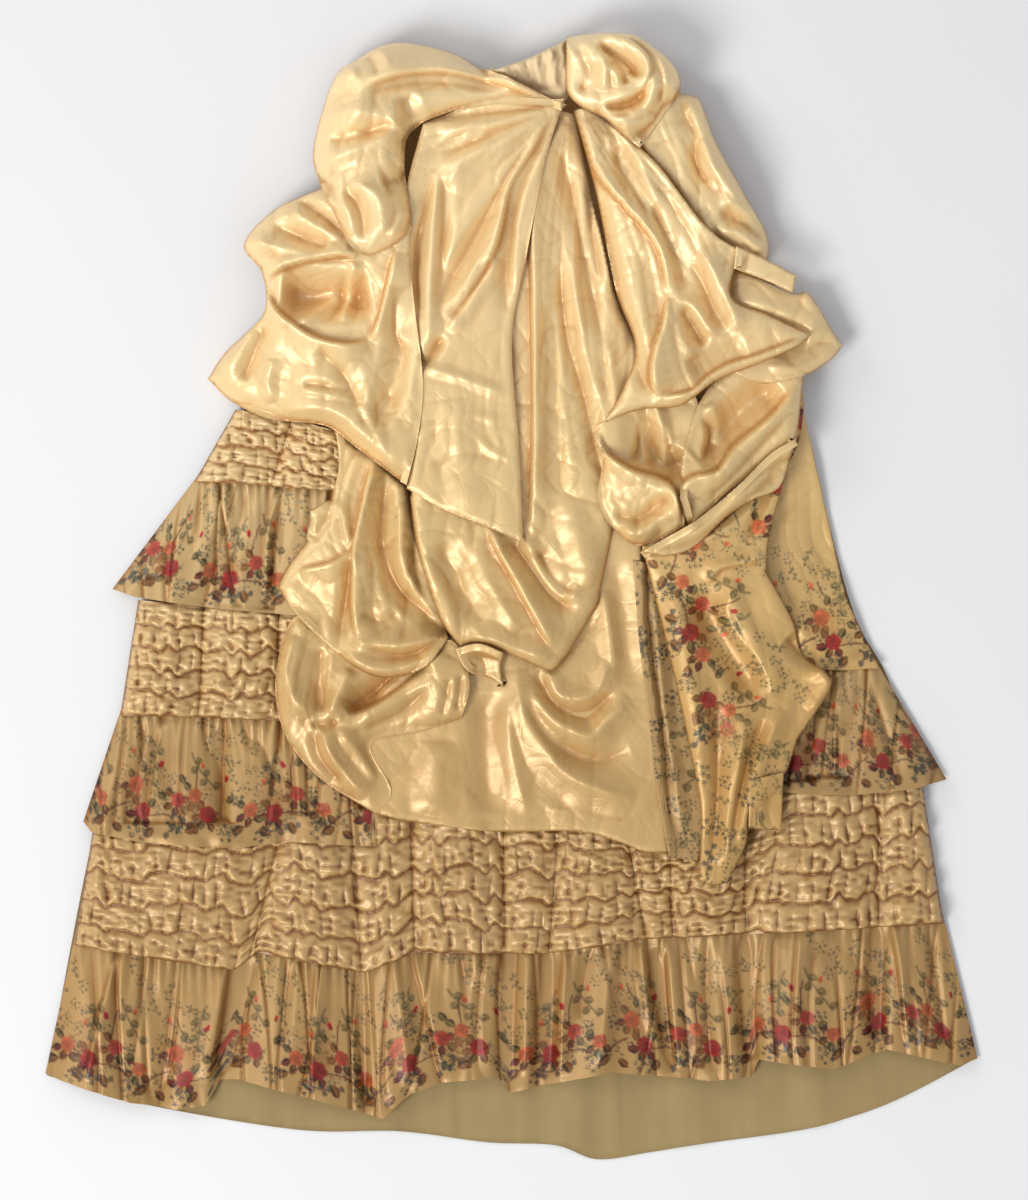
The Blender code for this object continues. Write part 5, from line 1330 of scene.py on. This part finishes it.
def sprigs():
    """Small pale sprigs spread evenly by the golden ratio, from the border up towards the gathers."""
    rows = []
    for i in range(SPRIGS):
        s = (i * GOLDEN % 1) * REPEAT
        h = 16 + 110 * ((i * 0.7549) % 1) ** 1.3
        kind, tone = (("spray", FAINT_SLATE), ("branch", SAGE), ("spray", SAGE))[i % 3]
        size = 20 if kind == "branch" else 8.5
        rows.append((kind, s, h, size, 40 + 97 * i % 110, tone))
    return tuple(rows)


MOTIFS = sprigs() + rose_leaves() + CHARTED


def rose(u, v):
    """Cover and shade of a rose: a scalloped edge, and petals that wind round the heart."""
    r, turn = np.hypot(u, v), np.arctan2(v, u)
    cover = 1 - ramp(r, 0.86, 1.02 + 0.1 * np.cos(5 * turn))
    petals = 0.5 + 0.5 * np.cos(11 * r + 2 * np.cos(3 * turn + 5 * r))
    return cover * 0.94, 0.55 + 0.6 * petals * r + 0.25 * ramp(v, -0.2, 0.9)


def leaf(u, v):
    """A pointed leaf from 0 to 1 along u, with a pale vein."""
    width = 0.34 * np.sin(np.pi * np.clip(u, 0, 1)) ** 0.8
    cover = ramp(width - np.abs(v), -0.03, 0.06) * (u > 0) * (u < 1)
    return cover, 0.6 + 1.0 * (np.abs(v) < 0.05) + 0.7 * (v > 0) - 0.3 * (width - np.abs(v) < 0.08)


def stem(u, v):
    """A thin bent twig."""
    off = np.abs(v - 0.16 * np.sin(2.6 * u + 0.4))
    return 0.85 * ramp(0.034 - off, -0.01, 0.02) * (np.abs(u) < 0.5), 1.0 + 0 * u


def branch(u, v):
    """A twig with small leaves in pairs."""
    cover, _ = stem(u - 0.5, v)
    shade = np.ones(u.shape)
    for i, at in enumerate((0.15, 0.32, 0.5, 0.66, 0.82)):
        side = 1 if i % 2 else -1
        lean = u - at + 0.55 * side * (v - 0.16 * np.sin(2.6 * at - 0.9))
        off = side * (v - 0.16 * np.sin(2.6 * at - 0.9)) - 0.55 * (u - at)
        part, tone = leaf(off / 0.26, lean / 0.3)
        shade = np.where(part > cover, tone, shade)
        cover = np.maximum(cover, part)
    return cover * 0.8, shade


def spray(u, v):
    """Small five-petalled flowers, scattered."""
    cover = np.zeros(u.shape)
    for x, y, size in (
        (0, 0.1, 0.24),
        (0.42, 0.3, 0.2),
        (-0.4, 0.34, 0.2),
        (0.15, 0.62, 0.19),
        (-0.2, -0.42, 0.22),
        (0.5, -0.3, 0.18),
        (-0.62, -0.1, 0.17),
        (0.75, 0.1, 0.15),
    ):
        r, turn = np.hypot(u - x, v - y), np.arctan2(v - y, u - x)
        petal = size * (0.75 + 0.3 * np.cos(5 * turn))
        cover = np.maximum(cover, (1 - ramp(r, petal - 0.05, petal + 0.05)) * (r > size * 0.22))
    return cover * 0.85, 1 + 0 * u


def bud(u, v):
    """A small closed bud, paler towards one end."""
    cover = 1 - ramp(np.hypot(u / 0.6, v), 0.8, 1.0)
    return cover, 0.8 + 0.5 * ramp(v, -0.3, 0.8)


def blush(u, v):
    """A soft halo behind a group of roses."""
    return 0.45 * np.exp(-1.6 * (u**2 + v**2)), 1 + 0 * u


PAINTERS = {painter.__name__: painter for painter in (rose, leaf, stem, branch, spray, bud, blush)}


BLOOMS = ("rose", "leaf", "blush", "bud", "stem")


def printed(s, h, bloom=None):
    """Colour of the cloth at s along the hem and h above it. Bloom fades the roses and their leaves."""
    s, h = s.ravel(), h.ravel()
    bloom = np.ones(len(s)) if bloom is None else bloom
    mottle = 1 + 0.05 * soft_noise(s, h, 18, 3)
    colour = np.array(GROUND) * mottle[:, None]
    for kind, at_s, at_h, size, turn, tone in MOTIFS:
        angle = np.radians(turn)
        off = (s - at_s + REPEAT / 2) % REPEAT - REPEAT / 2
        near = np.nonzero((np.abs(off) < size * 1.6) & (np.abs(h - at_h) < size * 1.6))[0]
        du, dv = off[near] / size, (h[near] - at_h) / size
        u = du * np.cos(angle) + dv * np.sin(angle)
        v = dv * np.cos(angle) - du * np.sin(angle)
        cover, shade = PAINTERS[kind](u, v)
        tint = np.clip(np.array(tone) * shade[:, None], 0, 0.95)
        fade = bloom[near] if kind in BLOOMS else 1.0
        cover = (np.clip(cover, 0, 1) * fade)[:, None]
        colour[near] = colour[near] * (1 - cover) + tint * cover
    return colour


# %% [markdown]
# ## Materials
# One small class wraps a shader socket, so that shader maths reads like ordinary sums. Satin is smooth
# and sheeny with fine creases, over point colours that carry painted shade and a painted highlight; the print
# is satin over the painted colours of print and painted shade, and the lining is matt.

# %% Shader maths
class Sum:
    """A shader value that can be added, multiplied and mixed."""

    def __init__(self, tree, socket):
        self.tree = tree
        self.socket = socket

    def node(self, kind, settings=None, **inputs):
        """Any other node: its type, its settings and its inputs by name."""
        made = self.tree.nodes.new(kind)
        for key, value in (settings or {}).items():
            setattr(made, key, value)
        for key, value in inputs.items():
            socket = made.inputs[key.replace("_", " ")]
            if isinstance(value, Sum):
                self.tree.links.new(value.socket, socket)
            else:
                socket.default_value = value
        return made

    def _maths(self, operation, *values):
        made = self.tree.nodes.new("ShaderNodeMath")
        made.operation = operation
        for slot, value in zip(made.inputs, values):
            if isinstance(value, Sum):
                self.tree.links.new(value.socket, slot)
            else:
                slot.default_value = value
        return Sum(self.tree, made.outputs[0])

    def __add__(self, other):
        return self._maths("ADD", self, other)

    __radd__ = __add__

    def __mul__(self, other):
        return self._maths("MULTIPLY", self, other)

    __rmul__ = __mul__

    def __sub__(self, other):
        return self._maths("SUBTRACT", self, other)

    def __rsub__(self, other):
        return self._maths("SUBTRACT", other, self)

    def __pow__(self, other):
        return self._maths("POWER", self, other)

    def blend(self, low, high):
        """Colour from low to high as this value goes from 0 to 1."""
        made = self.tree.nodes.new("ShaderNodeMix")
        made.data_type = "RGBA"
        self.tree.links.new(self.socket, made.inputs["Factor"])
        for slot, value in zip((made.inputs[6], made.inputs[7]), (low, high)):
            if isinstance(value, Sum):
                self.tree.links.new(value.socket, slot)
            else:
                slot.default_value = (*value, 1.0)
        return Sum(self.tree, made.outputs[2])


def new_material(name):
    made = bpy.data.materials.new(name)
    made.use_nodes = True
    shader = made.node_tree.nodes["Principled BSDF"]
    coordinates = made.node_tree.nodes.new("ShaderNodeTexCoord")
    return made, shader, Sum(made.node_tree, coordinates.outputs["Object"])


def noise(place, scale, detail, rough=0.55):
    """Noise over the object's own coordinates, in metres."""
    made = place.node("ShaderNodeTexNoise", Vector=place, Scale=scale, Detail=detail, Roughness=rough)
    return Sum(place.tree, made.outputs["Fac"])


def add_bump(place, shader, height, distance, strength):
    made = place.node("ShaderNodeBump", Height=height, Distance=distance, Strength=strength)
    place.tree.links.new(made.outputs["Normal"], shader.inputs["Normal"])


def sharp_lines(place, scale):
    """Thin pressed creases: the borders of large uneven cells, present only here and there."""
    bend = place.node("ShaderNodeTexNoise", Vector=place, Scale=scale * 0.7, Detail=2.0)
    bent = place.node("ShaderNodeVectorMath", {"operation": "MULTIPLY_ADD"})
    place.tree.links.new(bend.outputs["Color"], bent.inputs[0])
    bent.inputs[1].default_value = (0.05, 0.05, 0.05)
    place.tree.links.new(place.socket, bent.inputs[2])
    cells = place.node("ShaderNodeTexVoronoi", {"feature": "DISTANCE_TO_EDGE"}, Scale=scale)
    place.tree.links.new(bent.outputs[0], cells.inputs["Vector"])
    groove = place.node("ShaderNodeMapRange", Value=Sum(place.tree, cells.outputs["Distance"]), From_Max=0.07)
    here = place.node("ShaderNodeMapRange", Value=noise(place, scale * 0.45, 1), From_Min=0.45, From_Max=0.6)
    return 1 - (1 - Sum(place.tree, groove.outputs[0])) * Sum(place.tree, here.outputs[0])


def painted_colour(place):
    # The point colours hold the print and the painted shade and highlight.
    paint = place.node("ShaderNodeAttribute", {"attribute_name": "print_and_painted_shade"})
    return Sum(place.tree, paint.outputs["Color"])


def times(one, other):
    """Two colours multiplied."""
    made = one.tree.nodes.new("ShaderNodeMix")
    made.data_type = "RGBA"
    made.blend_type = "MULTIPLY"
    made.inputs["Factor"].default_value = 1.0
    one.tree.links.new(one.socket, made.inputs[6])
    one.tree.links.new(other.socket, made.inputs[7])
    return Sum(one.tree, made.outputs[2])


def satin(name, low, high, rough, lustre):
    """Satin: warm cream with slow changes of tone, fine creases and a coloured lustre."""
    made, shader, place = new_material(name)
    tone = noise(place, 9, 3).blend(low, high)
    # The satin's tone is multiplied by the point colours, which carry painted shade and a painted highlight.
    place.tree.links.new(times(tone, painted_colour(place)).socket, shader.inputs["Base Color"])
    crumple_height = noise(place, 55, 5, 0.62)
    weave = noise(place, 900, 2)
    lines = sharp_lines(place, 15) * 0.5 + sharp_lines(place, 31) * 0.2
    add_bump(place, shader, crumple_height * 0.7 + weave * 0.07 + lines, 0.0015, 0.5)
    place.tree.links.new((crumple_height * 0.10 + (rough - 0.05)).socket, shader.inputs["Roughness"])
    shader.inputs["Metallic"].default_value = lustre
    shader.inputs["Specular IOR Level"].default_value = 0.85
    return made


def printed_satin(name):
    """The painted colours, a little uneven, on duller satin."""
    made, shader, place = new_material(name)
    tint = noise(place, 14, 4).blend((0.84, 0.80, 0.74), (1.0, 1.0, 1.0))
    place.tree.links.new(times(painted_colour(place), tint).socket, shader.inputs["Base Color"])
    crease = noise(place, 70, 5, 0.6)
    weave = noise(place, 1100, 2)
    add_bump(place, shader, crease * 0.7 + weave * 0.12, 0.0012, 0.4)
    shader.inputs["Roughness"].default_value = 0.42
    shader.inputs["Metallic"].default_value = 0.2
    return made


def plain_lining(name, low, high):
    """Plain woven cloth: matt, with slubs and faint streaks between two tones."""
    made, shader, place = new_material(name)
    streaked = place.node("ShaderNodeVectorMath", {"operation": "MULTIPLY"})
    place.tree.links.new(place.socket, streaked.inputs[0])
    streaked.inputs[1].default_value = (1.0, 0.12, 1.0)
    streaks = Sum(place.tree, streaked.outputs[0])
    tone = noise(place, 12, 5) * 0.5 + noise(streaks, 60, 3) * 0.5
    place.tree.links.new(tone.blend(low, high).socket, shader.inputs["Base Color"])
    weave = noise(place, 1400, 3)
    add_bump(place, shader, noise(place, 40, 4) * 0.8 + weave * 0.2, 0.001, 0.5)
    shader.inputs["Roughness"].default_value = 0.85
    return made


def dark_metal(name):
    """Japanned wire, rubbed brighter in places."""
    made, shader, place = new_material(name)
    rub = noise(place, 600, 3)
    tone = rub.blend((0.03, 0.025, 0.02), (0.22, 0.18, 0.13))
    place.tree.links.new(tone.socket, shader.inputs["Base Color"])
    place.tree.links.new((rub * 0.3 + 0.25).socket, shader.inputs["Roughness"])
    shader.inputs["Metallic"].default_value = 0.9
    return made


def pale_board(name):
    """The plain pale surface under the garment."""
    made, shader, place = new_material(name)
    tone = noise(place, 2.2, 2)
    low, high = (0.76, 0.765, 0.78), (0.80, 0.805, 0.815)
    place.tree.links.new(tone.blend(low, high).socket, shader.inputs["Base Color"])
    shader.inputs["Roughness"].default_value = 0.7
    return made


SATIN_LOOK = satin("golden_satin", (0.85, 0.62, 0.31), (0.93, 0.72, 0.39), 0.40, 0.2)
BAND_LOOK = satin("shirred_satin", (0.78, 0.57, 0.30), (0.88, 0.66, 0.36), 0.44, 0.14)
PRINT_LOOK = printed_satin("printed_satin")
LINING_LOOK = plain_lining("beige_lining", (0.25, 0.175, 0.07), (0.40, 0.29, 0.125))
WAIST_LOOK = plain_lining("waistband_satin", (0.74, 0.54, 0.30), (0.90, 0.72, 0.45))
HIDDEN_LOOK = plain_lining("hidden_satin", (0.52, 0.34, 0.14), (0.62, 0.43, 0.20))
METAL_LOOK = dark_metal("dark_hook_metal")
BOARD_LOOK = pale_board("pale_board")


# %% [markdown]
# ## Lay the cloth
# From the table up: the two flat panels, the tiers, the side panel, then the drapery in the order in
# which it lies. Each shell replaces its own solid and rides on the one body.

# %% Lay every piece
made_pieces = {}


# How much fuller each piece was cut than the outline it fills now, across it and along it. These are a
# dressmaker's allowances judged from how far the cloth is bunched, and owe nothing to the shells.
FULLNESS = {
    "back_panel": (1.0, 1.0),
    "front_panel": (1.0, 1.0),
    "lower_flounce": (1.4, 1.0),
    "lower_band": (1.5, 1.2),
    "middle_flounce_left": (1.4, 1.0),
    "middle_band_left": (1.5, 1.2),
    "upper_flounce_left": (1.4, 1.0),
    "upper_band_left": (1.5, 1.2),
    "middle_flounce_right": (1.4, 1.0),
    "right_side_panel": (1.05, 1.0),
    "apron_hem_panel": (1.1, 1.05),
    "facing_strip": (1.1, 1.0),
    "floral_drape": (1.2, 1.05),
    "square_flap": (1.0, 1.0),
    "left_swag": (1.2, 1.1),
    "lower_left_loop": (1.15, 1.1),
    "centre_drape": (1.25, 1.05),
    "cuff_flap": (1.2, 1.0),
    "swag_left": (1.25, 1.15),
    "swag_right": (1.25, 1.15),
    "sash_band": (1.1, 1.05),
    "right_wing": (1.15, 1.05),
    "right_back_piece": (1.3, 1.1),
    "right_drape": (1.3, 1.05),
    "flap_band": (1.05, 1.0),
    "waistband": (1.8, 1.1),
    "front_fan": (1.25, 1.05),
    "knot": (1.6, 1.3),
    "puff_lower_left": (1.25, 1.15),
    "puff_upper_left": (1.35, 1.25),
}
OUTLINE_SPACING = 5.0


def flat_cut(piece, hem):
    """Width, length and area of the cut, in metres: the outline let out by its fullness, plus its hem."""
    if any(row[0] == piece for row in TIERS):
        loop = np.vstack([tier_edge(piece, "top"), tier_edge(piece, "hem")[::-1]])
        extent = np.ptp(loop, axis=0)
    else:
        loop = outline(piece, OUTLINE_SPACING)
        axes = np.linalg.svd(loop - loop.mean(axis=0), full_matrices=False)[2]
        extent = np.ptp(loop @ axes.T, axis=0)[::-1]
    width, length = (extent * FULLNESS[piece] + 2 * hem) * MM
    x, y = loop.T
    outline_area = abs(x @ np.roll(y, -1) - y @ np.roll(x, -1)) / 2
    round_it = np.linalg.norm(np.roll(loop, -1, axis=0) - loop, axis=1).sum()
    area = (outline_area * np.prod(FULLNESS[piece]) + round_it * hem) * MM**2
    return (float(width), float(length)), float(area)


def finish_piece(piece, made, look, hem=0.0):
    """Give a shell its look, put it on the body, hide the solid it stands for and keep it by that solid's
    name; its flat cut is worked out but not kept.
    """
    made.data.materials.append(look)
    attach(made, "root")
    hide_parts(piece)
    flat, area = flat_cut(piece, hem)
    made_pieces[piece] = made


def flat_panel(piece, lift):
    plan, faces, loop = lattice(piece, PANEL_SPACING)
    x, y = plan.T
    low = 1100 - y
    sway = 0.5 + 0.5 * soft_noise(x, y * 0.2, 60, 11)
    height = lift + 1.4 * sway * np.clip(1 - low / 160, 0, 1) + np.maximum(fold_rise(piece, plan), -0.5)
    points = np.column_stack([plan, height])
    pile.add(points)
    wide = Pile()
    wide.add(points)
    np.maximum(pile.cells, wide.spread(3), out=pile.cells)
    made = add_mesh(piece, *turned_edge(points, faces, loop, PANEL_TURN))
    finish_piece(piece, made, LINING_LOOK, hem_allowance(PANEL_TURN))


flat_panel("back_panel", 1.0)
flat_panel("front_panel", 2.8)

for seed, row in enumerate(TIERS):
    piece, puffs = row[:2]
    spacing = BAND_SPACING if puffs else PRINT_SPACING
    points, shape, (x, y, down) = tier(row, spacing, 10 + seed * 7)
    colours = None
    if not puffs:
        hem_y = y[-1]
        along = x[-1] - x[-1, 0]
        colours = printed(along + 40 * seed + 0 * x, hem_y - y)
    faces = facing_up(points, grid_faces(*shape))
    colours = np.ones((len(points), 3)) if colours is None else colours
    # Painted shade in the pinches and hollows of each tier and towards the hem, and a painted highlight on
    # its ridges.
    hollow = hollowness(points[:, 2], faces, HOLLOW_ROUNDS) * TIER_SHADE
    colours = shaded(colours, hollow, points[:, 1], PINCH_SHADE_TINT if puffs else HOLLOW_SHADE_TINT)
    made = add_mesh(piece, points, faces, colours)
    look, slot = (BAND_LOOK, "satin") if puffs else (PRINT_LOOK, "printed_satin")
    finish_piece(piece, made, look)


DRAPE_BORDER = ((697, 878), (699, 809), (686, 738), (670, 664), (652, 590), (642, 552))
DRAPE_STRIP = ((797, 400), (799, 425), (782, 483), (767, 538), (764, 572))

# The print is paler on the drape and the side panel than on the flounces, by red, green and blue.
DRAPE_LIFT = (1.22, 1.2, 1.08)
# The rose strip's width and lower end, and where the border's flowers fade out below it.
STRIP_WIDTH = 24
STRIP_END = 538
BLOOM_FADE = (700, 760)
# Where each run of print starts in the chart, and how much of the chart it passes through.
STRIP_START, STRIP_RUN = 112, 178
BORDER_START, BORDER_RUN = 30, 330
BORDER_INSET = 4
SIDE_PRINT_FOOT = 672


def drape_print(plan):
    """A border up the drape's left edge that fades to sprigs below, and a rose strip on its upper edge."""
    distance, along, _ = nearest_on(plan, smooth_curve(DRAPE_BORDER, 8))
    off_strip, along_strip, _ = nearest_on(plan, smooth_curve(DRAPE_STRIP, 8))
    on_strip = (off_strip < STRIP_WIDTH) & (plan[:, 1] < STRIP_END)
    s = np.where(on_strip, along_strip * STRIP_RUN + STRIP_START, along * BORDER_RUN + BORDER_START)
    h = np.where(on_strip, off_strip + STRIP_WIDTH, distance + BORDER_INSET)
    bloom = np.where(on_strip, 1.0, 0.95 * (1 - ramp(plan[:, 1], *BLOOM_FADE)))
    return printed(s, h, bloom) * DRAPE_LIFT


def side_print(plan):
    """Border print at the lower edge of the side panel."""
    return printed(plan[:, 0] * 1.0, SIDE_PRINT_FOOT - plan[:, 1]) * DRAPE_LIFT


def facing_print(plan):
    """Only sprigs and sprays show on the narrow strip."""
    return printed(plan[:, 1] * 1.0, 30 + (plan[:, 0] - 650) * 0.9, np.zeros(len(plan)))


DRAPERY = (
    ("right_side_panel", side_print, ["front_panel"]),
    ("apron_hem_panel", None, ["lower_band"]),
    ("facing_strip", facing_print, ["lower_band"]),
    ("floral_drape", drape_print, ["facing_strip"]),
    ("square_flap", drape_print, ["floral_drape"]),
    ("lower_left_loop", None, ["apron_hem_panel"]),
    ("left_swag", None, ["lower_left_loop"]),
    ("centre_drape", None, ["apron_hem_panel"]),
    ("cuff_flap", None, ["centre_drape"]),
    ("swag_left", None, ["centre_drape"]),
    ("swag_right", None, ["floral_drape"]),
    ("sash_band", None, ["floral_drape"]),
    ("right_wing", None, ["swag_right"]),
    ("right_back_piece", None, ["back_panel"]),
    ("right_drape", None, ["centre_drape"]),
    ("flap_band", None, ["right_drape"]),
    ("waistband", None, ["back_panel"]),
    ("front_fan", None, ["centre_drape"]),
    ("knot", None, ["right_drape"]),
    ("puff_lower_left", None, ["upper_band_left"]),
    ("puff_upper_left", None, ["puff_lower_left"]),
)

SMOOTH_PIECES = ("apron_hem_panel", "front_fan")

for seed, (piece, paint, rests_on) in enumerate(DRAPERY):
    spacing = PRINT_SPACING if paint else SATIN_SPACING
    made = draped(piece, spacing, 100 + 9 * seed, paint, 0.4 if paint or piece in SMOOTH_PIECES else 1.0)
    look, slot = (PRINT_LOOK, "printed_satin") if paint else (SATIN_LOOK, "satin")
    if piece == "waistband":
        look, slot = WAIST_LOOK, "lining"
    finish_piece(piece, made, look, hem_allowance(HEM_TURN))

# %% [markdown]
# ## What stays from the solids
# The hidden layers keep their solid, because it only shows as a shadowed depth between two pieces.
# The hooks keep theirs in dark metal.

# %% Carried-over solids
for name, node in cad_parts.items():
    if name in made_pieces:
        continue
    look = METAL_LOOK if name.startswith("hook") else HIDDEN_LOOK
    for held in node.material_slots:
        held.material = look

# %% [markdown]
# ## Table, light and camera
# Soft light falls from the lower left of the picture, so the shadows lie to the upper right. The camera
# looks straight down from 4 m with the waist at the top of the picture.

# %% Stage
CAMERA_HEIGHT = 4.0
PICTURE_HEIGHT = 1.2
PICTURE_MIDDLE = (514, 600)

board_corners = np.array([(-2500, -2500, 0), (3500, -2500, 0), (3500, 3700, 0), (-2500, 3700, 0)], float)
board = add_mesh("table_surface", board_corners, np.array([(0, 3, 2, 1)]))
board.data.materials.append(BOARD_LOOK)


def area_light(name, place, target, size, power, colour):
    light = bpy.data.lights.new(name, "AREA")
    light.size = size
    light.energy = power
    light.color = colour
    made = bpy.data.objects.new(name, light)
    made.location = place
    made.rotation_euler = (Vector(target) - Vector(place)).to_track_quat("-Z", "Y").to_euler()
    bpy.context.scene.collection.objects.link(made)


area_light("key_light", (-3.0, -2.3, 4.2), (0, 0, 0), 2.1, 205, (1.0, 0.98, 0.95))
area_light("side_light", (-3.4, 2.0, 2.6), (0, 0, 0), 1.4, 36, (1.0, 0.97, 0.92))
world = bpy.data.worlds.new("soft_room")
world.use_nodes = True
world.node_tree.nodes["Background"].inputs["Color"].default_value = (0.97, 0.98, 1.0, 1.0)
world.node_tree.nodes["Background"].inputs["Strength"].default_value = 0.58
bpy.context.scene.world = world

camera_data = bpy.data.cameras.new("camera")
camera_data.lens = camera_data.sensor_width * CAMERA_HEIGHT / PICTURE_HEIGHT
camera = bpy.data.objects.new("camera", camera_data)
middle = to_metres(np.array([(*PICTURE_MIDDLE, 0.0)]))[0]
camera.location = (middle[0], middle[1], CAMERA_HEIGHT)
bpy.context.scene.collection.objects.link(camera)
bpy.context.scene.camera = camera
bpy.context.scene.view_settings.view_transform = "Standard"
